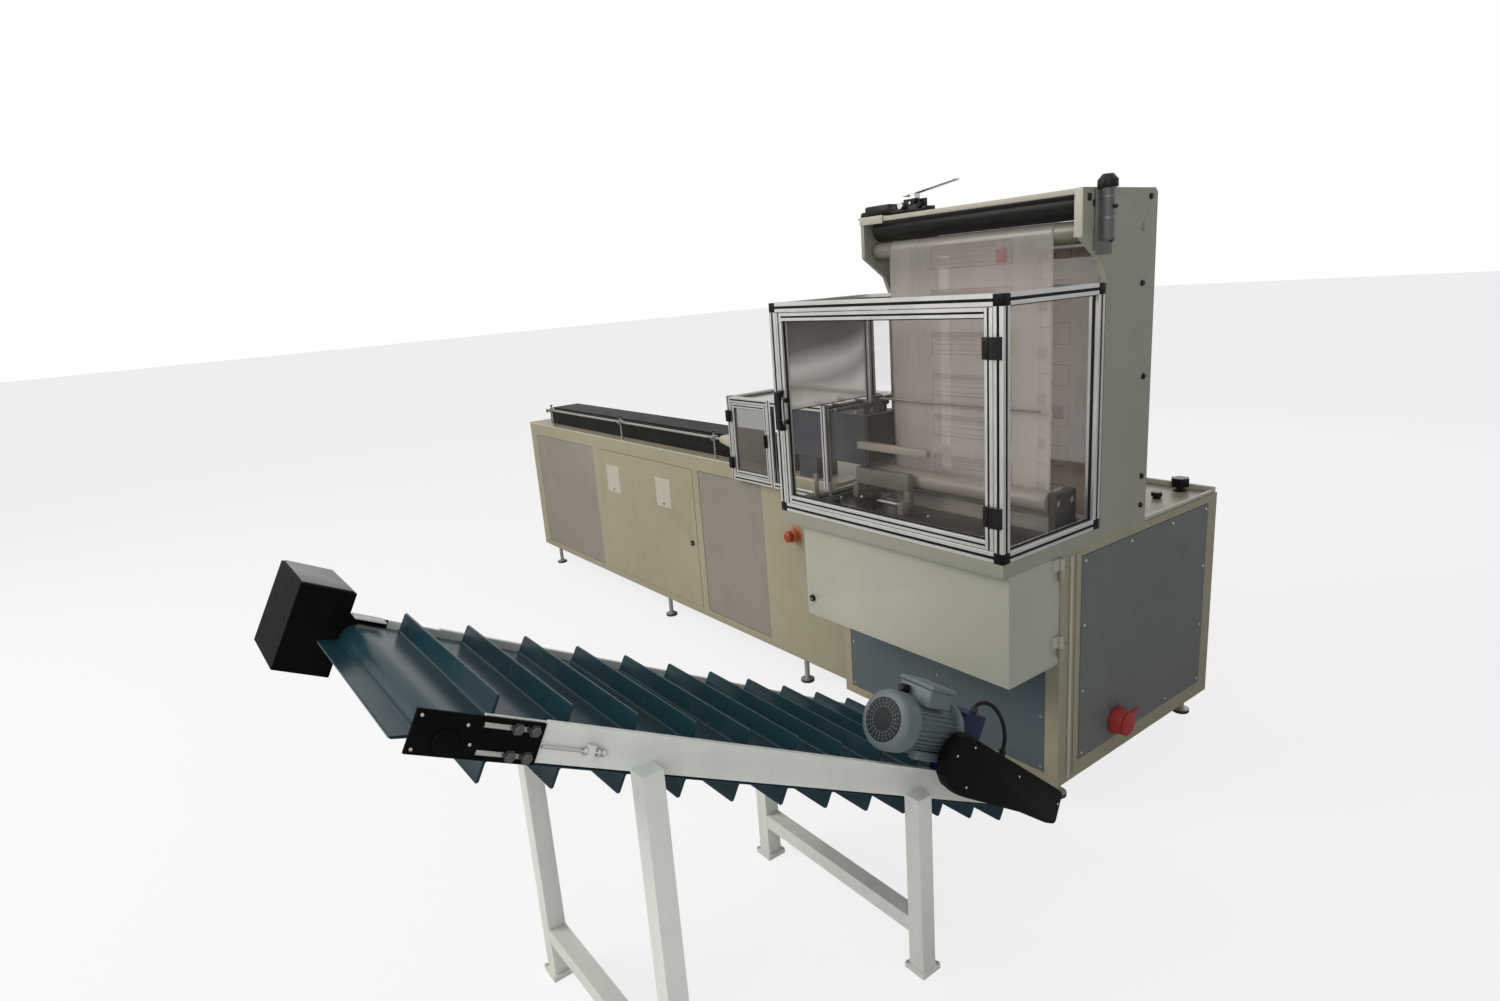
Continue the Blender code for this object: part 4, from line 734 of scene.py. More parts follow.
seals = []
for x in (GUARD_HIGH.x - PROFILE / 2, GUARD_LOW.x + PROFILE / 2):
    floor = GUARD_LOW.z + PROFILE if x > -0.5 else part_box("guard_left_pane")[0].z - 0.0003
    seals += rubber_round("x", (0, GUARD_LOW.y + PROFILE, floor),
                          (0, GUARD_HIGH.y - PROFILE, GUARD_HIGH.z - PROFILE), x)
assembled("guard_pane_seals", "machine", [gasket], seals)

# ---------------------------------------------------------------- guard door
# The front door in a slimmer slotted profile, on two moulded hinges, with a bow handle held by
# two hand screws on its left stile.
DOOR = 0.025
DOOR_LOW, DOOR_HIGH = corners("guard_door_frame")
middle_y = (DOOR_LOW.y + DOOR_HIGH.y) / 2


def door_frame(low, high, size, level, slot):
    """Two rails of slotted profile between two stiles."""
    bars = []
    for z in (low.z + size / 2, high.z - size / 2):
        bars += profile_bar("x", low.x + size, high.x - size, (level, z), size, slot)
    for x in (low.x + size / 2, high.x - size / 2):
        bars += profile_bar("z", low.z, high.z, (x, level), size, slot)
    return bars


def door_seal(low, high, size, level, *section):
    """The rubber strip round a door's pane, inside its frame."""
    return rubber_round("y", (low.x + size, 0, low.z + size), (high.x - size, 0, high.z - size),
                        level, *section)


assembled("guard_door_profiles", "guard_door", [anodised, strip_black],
          door_frame(DOOR_LOW, DOOR_HIGH, DOOR, middle_y, 0.003), ["guard_door_frame"])
softened("guard_door_pane", "guard_door_sheet", [polycarbonate], 0.0006)
assembled("guard_door_seal", "guard_door", [gasket],
          door_seal(DOOR_LOW, DOOR_HIGH, DOOR, middle_y))


def bow_handle(low, high):
    """A moulded bow: an arched grip that swells at both feet."""
    shape = bmesh.new()
    rings = []
    steps = 28
    reach = high.y - low.y
    for i in range(steps + 1):
        t = i / steps
        z = low.z + (high.z - low.z) * t
        foot = max(0.0, 1 - min(t, 1 - t) / 0.26)
        foot = foot * foot * (3 - 2 * foot)
        end = min(1.0, min(t, 1 - t) / 0.05 + 0.35)
        outer = low.y + (1 - end) * reach * 0.5
        inner = low.y + 0.016 + (reach - 0.016) * foot
        half = ((high.x - low.x) / 2) * (1.12 + 0.13 * foot) * (0.7 + 0.3 * end)
        ring = []
        for k in range(16):
            angle = 2 * math.pi * k / 16
            x = math.copysign(abs(math.cos(angle)) ** 0.6, math.cos(angle)) * half
            s = math.copysign(abs(math.sin(angle)) ** 0.6, math.sin(angle))
            y = (outer + inner) / 2 + s * (inner - outer) / 2
            ring.append(shape.verts.new(((low.x + high.x) / 2 + x, y, z)))
        rings.append(ring)
    skinned(shape, rings)
    bmesh.ops.recalc_face_normals(shape, faces=shape.faces)
    return shape


grip_low, grip_high = corners("guard_door_handle")
grip_x = (grip_low.x + grip_high.x) / 2
grip_parts = [bow_handle(grip_low, grip_high)]
for z in (grip_low.z + 0.030, grip_high.z - 0.030):
    grip_parts += [bar((grip_x + 0.006, -0.262, z), (grip_x + 0.022, -0.262, z), 0.004, 14, 1),
                   bar((grip_x + 0.020, -0.262, z), (grip_x + 0.032, -0.262, z), 0.0085, 16, 0, 0.0015)]
assembled("guard_door_bow_handle", "guard_door", [latch_black, screw_steel],
          grip_parts, ["guard_door_handle"])
for hinge in ("guard_hinge_upper", "guard_hinge_lower"):
    softened(hinge, hinge + "_block", [latch_black], 0.001)
    low, high = corners(hinge)
    screwed(hinge + "_screws", 0.0035, 0.002,
            [(high.x - 0.009, low.y + 0.0022, z) for z in (low.z + 0.012, high.z - 0.012)], FRONT,
            finish=screw_black)
    leaf_x, leaf_y = DOOR_HIGH.x - 0.017, DOOR_LOW.y - 0.008
    assembled(hinge + "_leaf", "guard_door", [latch_black, screw_black], [
        block((leaf_x - 0.009, leaf_y, low.z), (leaf_x + 0.010, DOOR_LOW.y - 0.0003, high.z), 0.0012)] + [
        aimed(cap_screw(0.0035, 0.002), (leaf_x, leaf_y, z), FRONT, 1)
        for z in (low.z + 0.012, high.z - 0.012)])

# ---------------------------------------------------------------- small guard
# The low guard over the infeed's end: the same profile in a smaller size, with its own door on
# two block hinges and clear panes.
BAR = 0.022
small_low, small_high = corners("small_guard_frame")
left, right, front, back = small_low.x, small_high.x, -0.036, small_high.y
low_z, high_z = small_low.z, small_high.z
half = BAR / 2
small_bars = []
for x in (left + half, -1.232 + half, right - half):
    small_bars += profile_bar("z", low_z, high_z, (x, front + half), BAR, 0.003)
for start, end in ((left + BAR, -1.232), (-1.232 + BAR, right - BAR)):
    for z in (low_z + half, high_z - half):
        small_bars += profile_bar("x", start, end, (front + half, z), BAR, 0.003)
for x in (left + half, right - half):
    small_bars += profile_bar("y", front + BAR, back - BAR, (x, high_z - half), BAR, 0.003)
    small_bars += profile_bar("z", 0.8855, high_z, (x, back - half), BAR, 0.003)
small_bars += profile_bar("x", left + BAR, right - BAR, (back - half, high_z - half), BAR, 0.003)
small_bars += [block((left, front, high_z), (left + BAR, front + BAR, high_z + 0.0012), 0.0005, 1),
               block((right - BAR, front, high_z), (right, front + BAR, high_z + 0.0012), 0.0005, 1)]
door_low, door_high = corners("small_guard_door_frame")
for z in (door_high.z - 0.075, door_low.z + 0.025):
    small_bars.append(block((left + 0.001, front - 0.010, z), (door_low.x - 0.0045, front, z + 0.045),
                            0.0012, 1))
    small_bars.append(bar((door_low.x - 0.001, front - 0.0065, z),
                          (door_low.x - 0.001, front - 0.0065, z + 0.045), 0.0062, 14, 1))
assembled("small_guard_profiles", "machine", [anodised, strip_black], small_bars,
          ["small_guard_frame"])
THIN = 0.018
SMALL_DOOR_Y = -0.026
pull = block((door_high.x - 0.015, -0.047, 0.985), (door_high.x - 0.003, -0.0352, 1.035), 0.003, 1)
assembled("small_door_profiles", "small_guard_door", [anodised, strip_black],
          door_frame(door_low, door_high, THIN, SMALL_DOOR_Y, 0.0022) + [pull],
          ["small_guard_door_frame"])
softened("small_guard_door_pane", "small_door_sheet", [smoked], 0.0005)
softened("small_guard_top_pane", "small_top_sheet", [smoked], 0.0005)
assembled("small_pane_seals", "small_guard_door", [gasket],
          door_seal(door_low, door_high, THIN, SMALL_DOOR_Y, 0.002, 0.003))

# ---------------------------------------------------------------- tower and its rollers
# Two plates cut from sheet and tied by bars, sprayed cream. A rubber-covered roller presses the
# film on a ground steel idler; a second idler stands behind. Bolt ends stand out of the plates.
softened("tower_frame", "tower_plates", [cool_cream], 0.0015)
roller_rubber = coated("roller_rubber", (0.014, 0.013, 0.012), 0.34, 0.08, 0.25, 300.0, 0.00008,
                       specular=0.12)
ground_steel = metal("ground_steel", (0.56, 0.55, 0.53), 0.26, (6.0, 500.0, 500.0))
idler_sleeve = coated("idler_sleeve", (0.20, 0.185, 0.150), 0.30, 0.08, 0.25, 300.0, 0.00006,
                      specular=0.5)
draw_sleeve = coated("draw_sleeve", (0.36, 0.315, 0.275), 0.34, 0.06, 0.25, 300.0, 0.00006)
for node, finish, slot in (("nip_roller", roller_rubber, "black_rubber"),
                           ("film_idler", idler_sleeve, "steel"),
                           ("rear_idler", idler_sleeve, "steel"),
                           ("draw_roller_front", draw_sleeve, "steel"),
                           ("draw_roller_rear", draw_sleeve, "steel")):
    softened(node, node + "_turned", [finish], 0.0012, segments=3)
TOWER_TOP = 1.771
bolt_ends = [(0.393, 1.748), (0.364, 1.518), (0.388, 1.256), (0.399, 0.959), (0.399, 0.87)]
for which, x, facing in (("right", 0.0, RIGHT), ("left", -0.800, LEFT)):
    repeated("tower_bolts_" + which, "machine", screw_black,
             hex_bolt(0.0075, 0.006), [(x, y, z) for y, z in bolt_ends], facing)
shaft_yz = [(0.1285, 1.666), (0.1225, 1.7317), (0.3565, 1.666)]
repeated("tower_shaft_caps_left", "machine", screw_steel,
         lathed([(0.013, 0), (0.013, 0.0022), (0.0115, 0.0032), (0.005, 0.0034)], 20),
         [(-0.800, y, z) for y, z in shaft_yz], LEFT)
assembled("tower_bars", "machine", [pale_plate, latch_black], [
    block((-0.786, 0.0705, 1.7575), (-0.014, 0.0725, 1.7702), 0.0006, 0),
    block((-0.0235, 0.0665, 1.650), (0.0005, 0.0698, 1.7705), 0.0008, 0),
    block((0.0002, 0.088, 1.738), (0.0022, 0.104, 1.756), 0.0006, 1)])

# ---------------------------------------------------------------- roller lift
# On the left plate a cast bracket and a long thin hand lever; on the right plate a short lift
# cylinder on its foot, with a moulded dome over its rod.
softened("nip_lever_bracket", "lift_bracket", [latch_black], 0.003, segments=3)
softened("nip_lever", "lift_lever", [ground_steel], 0.0006)
lever_y, lever_z = 0.1225, 1.8005
assembled("lift_bracket_parts", "machine",
          [latch_black, ground_steel, pale_plate], [
    bar((-0.640, lever_y - 0.026, lever_z - 0.006), (-0.640, lever_y - 0.040, lever_z - 0.006), 0.011,
        20, 1, 0.002),
    bar((-0.590, lever_y - 0.0215, lever_z + 0.004), (-0.590, lever_y - 0.034, lever_z + 0.004), 0.008,
        16, 0, 0.002),
    bar((-0.574, lever_y - 0.0215, lever_z - 0.010), (-0.574, lever_y - 0.030, lever_z - 0.010), 0.009,
        16, 0, 0.002),
    block((-0.808, lever_y - 0.026, 1.7755), (-0.700, lever_y + 0.026, 1.8080), 0.007, 0, 3),
    block((-0.704, lever_y - 0.022, 1.7800), (-0.672, lever_y + 0.022, 1.7985), 0.005, 0, 3),
    block((-0.8005, 0.0662, 1.7500), (-0.700, 0.0698, 1.7745), 0.0008, 2)])
cylinder_grey = coated("cylinder_grey", (0.16, 0.17, 0.155), 0.36, 0.06, 0.25, metallic=0.3)
softened("nip_cylinder", "lift_cylinder", [cylinder_grey, latch_black], 0.0012,
         lambda middle: int(middle.z > TOWER_TOP - 0.0035))
assembled("lift_cylinder_parts", "machine", [cylinder_grey, latch_black], [
    bar((0.018, 0.150, 1.690), (0.018, 0.150, 1.698), 0.0188, 24, 0),
    bar((0.018, 0.150, 1.742), (0.018, 0.150, 1.750), 0.0188, 24, 0),
    bar((0.006, 0.184, 1.700), (0.0150, 0.184, 1.700), 0.0075, 6, 1),
    bar((0.006, 0.184, 1.640), (0.0150, 0.184, 1.640), 0.0075, 6, 1),
    bar((0.036, 0.150, 1.720), (0.046, 0.150, 1.720), 0.005, 12, 1),
    block((0.0004, 0.118, 1.604), (0.008, 0.196, 1.764), 0.003, 0)])

# ---------------------------------------------------------------- film
# The printed film: a thin, slightly cloudy web from the reel up behind the tower, over both
# idlers and down through the bed plate. Its free spans have soft upright folds.
WEB_LEFT, WEB_RIGHT = -0.705, -0.105
FILM_THICK = 0.0004
IDLER = (0.1285, 1.666)
REAR_IDLER = (0.3565, 1.666)
IDLER_REACH = 0.028 + 0.0003 + FILM_THICK / 2


def round_idler(centre, start, first):
    """A quarter turn of the film on an idler, from a start angle in degrees."""
    turns = [math.radians(start + 90 * i / 8) for i in range(first, 9)]
    return [(centre[0] + IDLER_REACH * math.cos(angle), centre[1] + IDLER_REACH * math.sin(angle), 0.0)
            for angle in turns]


def film_route():
    """Points (y, z) along the film with the share of each that hangs free."""
    rise = [(0.385, 0.44 + (1.666 - 0.44) * i / 40, math.sin(math.pi * i / 40)) for i in range(41)]
    across = [(REAR_IDLER[0] + (IDLER[0] - REAR_IDLER[0]) * i / 6, 1.666 + IDLER_REACH, 0.0)
              for i in range(1, 6)]
    last = IDLER[0] - IDLER_REACH
    fall = [(last, 1.666 + (0.970 - 1.666) * i / 40, math.sin(math.pi * i / 40)) for i in range(1, 41)]
    foot = [(last, z, 0.0) for z in (0.935, 0.90, 0.86, 0.82, 0.78, 0.74, 0.70, 0.66)]
    return rise + round_idler(REAR_IDLER, 0, 1) + across + round_idler(IDLER, 90, 0) + fall + foot


def film_sheet():
    """The web as a fine grid, with its own map of width and run in metres."""
    random.seed(4)
    route = film_route()
    columns = 60
    lines = [WEB_LEFT + (WEB_RIGHT - WEB_LEFT) * k / columns for k in range(columns + 1)]
    waves = [(random.uniform(7, 40), random.uniform(0, 6.28), random.uniform(0.2, 1.0))
             for i in range(7)]
    shape = bmesh.new()
    layer = shape.loops.layers.uv.new("film_run")
    rows, runs, run = [], [], 0.0
    for i, (y, z, free) in enumerate(route):
        if i:
            run += math.hypot(y - route[i - 1][0], z - route[i - 1][1])
        runs.append(run)
        side = 0.0007 if y > 0.2 else -0.0007
        rows.append([shape.verts.new((x, y + side * free * sum(
            a * math.sin(w * x * 2 + p + 0.7 * math.sin(1.3 * z + p)) for w, p, a in waves), z))
            for x in lines])
    for i in range(len(rows) - 1):
        for k in range(columns):
            face = shape.faces.new((rows[i][k], rows[i][k + 1], rows[i + 1][k + 1], rows[i + 1][k]))
            face.smooth = True
            for loop, (a, b) in zip(face.loops, ((k, i), (k + 1, i), (k + 1, i + 1), (k, i + 1))):
                loop[layer].uv = (lines[a], runs[b])
    return shape, run


def printed_film():
    """Cloudy film with rows of plain outlined boxes in faint ink, and upright fold lines in painted
    shade. It is painted lighter below the guard's top and on the rear web, as painted light through the
    film.
    """
    made, tree, shader = finish_named("printed_film")
    run = put(tree, "ShaderNodeUVMap", uv_map="film_run").outputs[0]
    split = put(tree, "ShaderNodeSeparateXYZ", {0: run}).outputs
    across, along = split["X"], split["Y"]
    pitch, start = 0.1285, 0.0164

    def part_of(length, begin):
        """How far along its own length a place is, from 0 to 1, over and over."""
        return worked(tree, "FRACT", worked(tree, "DIVIDE", plus(tree, along, begin), length))

    row = times(tree, part_of(pitch, start), pitch)

    def within(value, low, high):
        return times(tree, worked(tree, "GREATER_THAN", value, low),
                     worked(tree, "LESS_THAN", value, high))

    def filled(left, right, low, high):
        return times(tree, within(across, left, right), within(row, low, high))

    pen = 0.0024
    ink = less(tree, filled(-0.535, -0.235, 0.020, 0.088),
               filled(-0.535 + pen, -0.235 - pen, 0.020 + pen, 0.088 - pen))
    for low, high, end in ((0.041, 0.0435, -0.310), (0.056, 0.0585, -0.330), (0.074, 0.0765, -0.315)):
        ink = plus(tree, ink, times(tree, filled(-0.520, end, low, high), 0.55))
    band = filled(-0.531, -0.290, 0.024, 0.037)
    one_row_in_seven = worked(tree, "LESS_THAN", part_of(pitch * 7, start + pitch * 2), 1 / 7)
    stamp = times(tree, filled(-0.292, -0.252, 0.044, 0.083), one_row_in_seven)
    patch = plus(tree, filled(-0.150, -0.122, 0.060, 0.092), filled(-0.158, -0.110, 0.004, 0.008))
    # Fold lines: thin upright stripes painted darker, as painted shade along the film's creases.
    fold_shade = plus(tree, within(across, -0.6865, -0.6852), within(across, -0.6120, -0.6112))
    fold_shade = plus(tree, fold_shade, within(across, -0.1440, -0.1430))
    place = put(tree, "ShaderNodeTexCoord").outputs["Object"]
    parts = put(tree, "ShaderNodeSeparateXYZ", {0: place}).outputs
    behind = ramped(tree, less(tree, parts["Y"], FRONT_FACE), 0.18, 0.30)
    cloud = grain(tree, stretched(tree, place, (5.0, 5.0, 1.2)), 1.0, 4.0, 0.6)
    clouded = ramped(tree, cloud, 0.3, 0.7)
    faint = ramped(tree, grain(tree, place, 60.0, 4.0), 0.3, 0.7, 0.45, 1.0)
    # Painted light: below the guard's top the film is painted lighter, and the rear web lighter still,
    # standing in for light shining through the film.
    colour = mixed(tree, clouded, (0.285, 0.255, 0.235, 1), (0.345, 0.310, 0.290, 1))
    for share, thin, thick in (
            (ramped(tree, parts["Z"], 1.62, 1.45), (0.56, 0.50, 0.455, 1), (0.68, 0.61, 0.56, 1)),
            (behind, (0.62, 0.50, 0.42, 1), (0.78, 0.64, 0.54, 1))):
        colour = mixed(tree, share, colour, mixed(tree, clouded, thin, thick))
    for mark, strength, shade in ((fold_shade, 0.40, (0.13, 0.115, 0.10, 1)),
                                  (band, 0.30, (0.17, 0.13, 0.14, 1)),
                                  (times(tree, stamp, faint), 0.80, (0.36, 0.065, 0.075, 1)),
                                  (times(tree, patch, faint), 0.25, (0.14, 0.09, 0.08, 1)),
                                  (times(tree, ink, faint), 0.75, (0.15, 0.075, 0.075, 1))):
        colour = mixed(tree, times(tree, mark, strength), colour, shade)
    tree.links.new(colour, shader.inputs["Base Color"])
    tree.links.new(ramped(tree, clouded, 0.0, 1.0, 0.22, 0.36), shader.inputs["Roughness"])
    cover = plus(tree, ramped(tree, behind, 0.0, 1.0, 0.70, 0.61), times(tree, clouded, 0.08))
    clear_foot = worked(tree, "MAXIMUM", ramped(tree, parts["Z"], 0.900, 0.925, 0.42, 1.0), behind)
    tree.links.new(times(tree, cover, clear_foot), shader.inputs["Alpha"])
    crease = grain(tree, stretched(tree, place, (90.0, 90.0, 3.0)), 1.0, 3.0, 0.6, 0.4)
    raised(tree, shader, crease, 0.35, 0.0012)
    shader.inputs["Coat Weight"].default_value = 0.2
    shader.inputs["Coat Roughness"].default_value = 0.12
    return made


film_shape, film_length = film_sheet()
film_mesh = bpy.data.meshes.new("film")
film_shape.transform(TO_FRAME)
film_shape.to_mesh(film_mesh)
film_shape.free()
film_mesh.materials.append(printed_film())
film = shown("film", film_mesh, "machine", ["film_web"])
thickness = film.modifiers.new("thickness", "SOLIDIFY")
thickness.thickness = FILM_THICK
thickness.offset = 0.0


def wound_film():
    """Many turns of film, seen as fine rings at the reel's ends."""
    made, tree, shader = finish_named("wound_film")
    place = put(tree, "ShaderNodeTexCoord").outputs["Object"]
    low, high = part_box("film_reel")
    about = put(tree, "ShaderNodeVectorMath", {0: place, 1: tuple(-(low + high) / 2)}, operation="ADD")
    parts = put(tree, "ShaderNodeSeparateXYZ", {0: about.outputs[0]}).outputs
    radius = worked(tree, "SQRT", plus(tree, times(tree, parts["Y"], parts["Y"]),
                                       times(tree, parts["Z"], parts["Z"])))
    turns = plus(tree, times(tree, worked(tree, "SINE", times(tree, radius, 2600.0)), 0.5), 0.5)
    tone = plus(tree, times(tree, turns, 0.35), times(tree, grain(tree, place, 30.0, 4.0), 0.6))
    tree.links.new(mixed(tree, tone, (0.44, 0.40, 0.36, 1), (0.60, 0.56, 0.52, 1)),
                   shader.inputs["Base Color"])
    raised(tree, shader, turns, 0.3, 0.0003)
    shader.inputs["Roughness"].default_value = 0.35
    return made


softened("film_reel", "film_roll_wound", [wound_film()], 0.001)
softened("reel_shaft", "reel_mandrel", [ground_steel], 0.0008)

# ---------------------------------------------------------------- reel brake knobs
# Two moulded star knobs on the case top, each on a turned stem.
for node in ("reel_brake_knob", "reel_side_knob"):
    softened(node, node + "_star", [latch_black], 0.0022, segments=3)

# ---------------------------------------------------------------- product chute and jaws
# A sheet tube brings each product to the film's edge, with wing knobs and a steel guide rod over
# its mouth; two ground bars under the bed plate close on the film and seal it.
chute_enamel = coated("chute_enamel", (0.040, 0.048, 0.062), 0.42, 0.08, 0.25, 420.0,
                      specular=0.2)
dull_rod = coated("dull_rod", (0.27, 0.245, 0.225), 0.4, 0.06, 0.3, 300.0, metallic=0.3)
softened("product_chute", "chute_tube", [chute_enamel, dull_rod], 0.0012,
         lambda middle: int(middle.z > 1.150 and middle.x > -0.745))
chute_parts = []
for x in (-0.99, -0.90, -0.80):
    for y in (0.012, 0.122):
        chute_parts += [bar((x, y, 1.1435), (x, y, 1.160), 0.005, 12, 1),
                        block((x - 0.017, y - 0.005, 1.158), (x + 0.017, y + 0.005, 1.172), 0.004),
                        bar((x, y, 1.156), (x, y, 1.170), 0.009, 16, 0, 0.002)]
knob_x = -0.762
for y, turn in ((0.028, 0.5), (0.106, 2.0)):
    chute_parts.append(bar((knob_x, y, 1.143), (knob_x, y, 1.180), 0.012, 16, 0, 0.003))
    for angle in (turn, turn + 2.094, turn + 4.188):
        tip = (knob_x + 0.026 * math.cos(angle), y + 0.026 * math.sin(angle), 1.176)
        chute_parts.append(bar((knob_x, y, 1.170), tip, 0.0085, 12, 0, 0.004))
chute_parts += [block((x - 0.004, -0.016, 0.972), (x + 0.004, -0.0122, 1.147), 0.001, 2)
                for x in (-1.145, -0.94, -0.735)]
chute_parts.append(block((-0.752, -0.034, 1.036), (-0.450, -0.0125, 1.060), 0.002, 3))
assembled("chute_fittings", "machine",
          [latch_black, screw_steel, chute_enamel, draw_sleeve], chute_parts)
for jaw in ("seal_jaw_front", "seal_jaw_rear"):
    softened(jaw, jaw + "_bar", [ground_steel], 0.0015)
deck_dark = coated("deck_dark", (0.020, 0.020, 0.019), 0.30, 0.06, 0.35, 260.0, specular=0.25)
deck_grey = coated("deck_grey", (0.19, 0.18, 0.16), 0.42, 0.08, 0.35)
DECK = 0.8478
assembled("guard_deck", "machine", [deck_dark, deck_grey, screw_steel, latch_black], [
    block((-0.868, -0.222, DECK), (-0.032, 0.046, DECK + 0.004), 0.0008, 0),
    block((-0.800, 0.000, 0.905), (-0.560, 0.030, 0.962), 0.004, 1),
    block((-0.820, 0.004, DECK + 0.0035), (-0.796, 0.028, 0.9065), 0.002, 1),
    block((-0.584, 0.004, DECK + 0.0035), (-0.560, 0.028, 0.9065), 0.002, 1),
    bar((-0.835, -0.150, DECK + 0.003), (-0.835, -0.150, 0.960), 0.008, 16, 2),
    bar((-0.800, -0.120, DECK + 0.003), (-0.800, -0.120, 0.930), 0.006, 16, 2),
    block((-0.790, -0.175, DECK + 0.003), (-0.740, -0.130, 0.885), 0.004, 3),
    block((-0.690, -0.080, DECK + 0.003), (-0.640, -0.040, 0.900), 0.004, 3),
    bar((-0.715, -0.060, 0.880), (-0.520, -0.060, 0.880), 0.006, 14, 2),
    block((-0.540, -0.075, DECK + 0.003), (-0.515, -0.045, 0.892), 0.003, 1)])
screwed("deck_screws", 0.005, 0.004,
        [(x, y, DECK + 0.004) for x in (-0.845, -0.45, -0.06) for y in (-0.205, -0.03)], UP)

# ---------------------------------------------------------------- infeed
# A flat black belt over a dark sheet bed on the case top, and in front of it a steel guide rod
# held in clamps on turned posts, with a pale cone where it enters the small guard.
belt_black = coated("infeed_belt_rubber", (0.012, 0.012, 0.012), 0.5, 0.06, 0.3, 900.0, 0.0002,
                    specular=0.05)
bed_black = coated("bed_black", (0.014, 0.014, 0.014), 0.4, 0.06, 0.3, 420.0, specular=0.06)
softened("infeed_bed", "infeed_sheet_bed", [bed_black], 0.0012)
softened("infeed_belt", "infeed_belt_band", [belt_black], 0.0005)
for node in ("infeed_tail_roller", "infeed_head_roller"):
    softened(node, node + "_turned", [ground_steel], 0.0008)
rod_steel = metal("guide_rod_steel", (0.34, 0.325, 0.30), 0.30, (6.0, 500.0, 500.0))
cone_cream = coated("cone_cream", (0.46, 0.42, 0.33), 0.4, 0.05, 0.2)
softened("infeed_guide_rail", "guide_rod", [rod_steel, cone_cream, screw_black], 0.001,
         lambda middle: 1 if -1.621 < middle.x < -1.487 and math.hypot(
             middle.y - 0.022, middle.z - 0.972) > 0.007 else 0)
pins = []
for x in (-3.31, -2.50, -1.68):
    pins += [bar((x, 0.022, 0.981), (x, 0.022, 0.998), 0.0045, 12),
             bar((x, 0.022, 0.996), (x, 0.022, 1.003), 0.008, 16, 1, 0.002),
             bar((x, 0.011, 0.972), (x, -0.004, 0.972), 0.0045, 12),
             bar((x, -0.003, 0.972), (x, -0.010, 0.972), 0.008, 16, 1, 0.002)]
assembled("guide_rod_clamps", "machine", [rod_steel, latch_black], pins)

# ---------------------------------------------------------------- conveyor frame
# Two plate sides on four square legs, welded and sprayed off-white, with a folded lip along the
# top, rubber-tipped foot plates and a belt-tension screw behind each take-up plate.
SLOPE = math.radians(27.8)
TAIL = (-0.3481, 0.2684)
CONVEYOR_X = -0.158
CENTRES = 1.538
DRUM = 0.030
BELT_THICK = 0.003
BELT_TOP = DRUM + 0.0003 + BELT_THICK
FRAME_TOP = BELT_TOP + 0.012
OUTER = 0.270


def on_slope(run, rise):
    """A point (y, z) at a run up the slope from the tail axis and a rise square to it."""
    return (TAIL[0] - run * math.cos(SLOPE) + rise * math.sin(SLOPE),
            TAIL[1] + run * math.sin(SLOPE) + rise * math.cos(SLOPE))


SLOPE_FRAME = Matrix(((1, 0, 0, 0), (0, -math.cos(SLOPE), math.sin(SLOPE), TAIL[0]),
                      (0, math.sin(SLOPE), math.cos(SLOPE), TAIL[1]), (0, 0, 0, 1)))


def sloped(shape):
    """A shape drawn in (x, run, rise), laid on the slope."""
    moved(shape, SLOPE_FRAME)
    bmesh.ops.recalc_face_normals(shape, faces=shape.faces)
    return shape


conveyor_white = coated("conveyor_white", (0.77, 0.78, 0.73), 0.36, 0.05, 0.22)
softened("conveyor_frame", "conveyor_stand", [conveyor_white, foot_rubber], 0.002,
         lambda middle: int(middle.z < 0.004))
side, far_side = CONVEYOR_X + OUTER, CONVEYOR_X - OUTER
assembled("conveyor_lips", "machine", [conveyor_white], [
    sloped(block((x, -0.055, FRAME_TOP - 0.0005), (x + 0.0141, 1.380, FRAME_TOP + 0.0022)))
    for x in (side - 0.0079, far_side - 0.0062)])
tension = []
for sign, x in ((1, side), (-1, far_side)):
    low_x, high_x = sorted((x + sign * 0.0003, x + sign * 0.013))
    axis_x = x + sign * 0.0085
    tension += [block((low_x, 1.286, -0.004), (high_x, 1.300, 0.020), 0.0015),
                bar((axis_x, 1.262, 0.008), (axis_x, 1.383, 0.008), 0.0028, 12, 1)]
    tension += [bar((axis_x, run, 0.008), (axis_x, run + 0.007, 0.008), 0.0068, 6, 1)
                for run in (1.276, 1.301, 1.267)]
assembled("belt_tension_screws", "machine", [conveyor_white, screw_steel],
          [sloped(shape) for shape in tension])
repeated("leg_foot_bolts", "machine", screw_steel, hex_bolt(0.0034, 0.004),
         [(CONVEYOR_X + sign * (OUTER + 0.019) + dx, on_slope(run, FRAME_TOP - 0.036)[0] + dy, 0.013)
          for run in (0.442, 1.19) for sign in (1, -1) for dx, dy in ((-0.025, -0.025), (0.025, 0.025))],
         UP)

# ---------------------------------------------------------------- conveyor belt
# A glossy blue-green belt with upright moulded cleats right across it, round two drums. Each
# cleat swells a little at its root, where it is welded to the belt, and has a rounded tip.
HALF_BELT = 0.25
CLEAT_COUNT = 25
CLEAT_HEIGHT = 0.038
CLEAT_PHASE = 0.0194
BEND = math.pi * BELT_TOP
LOOP = 2 * (CENTRES + BEND)


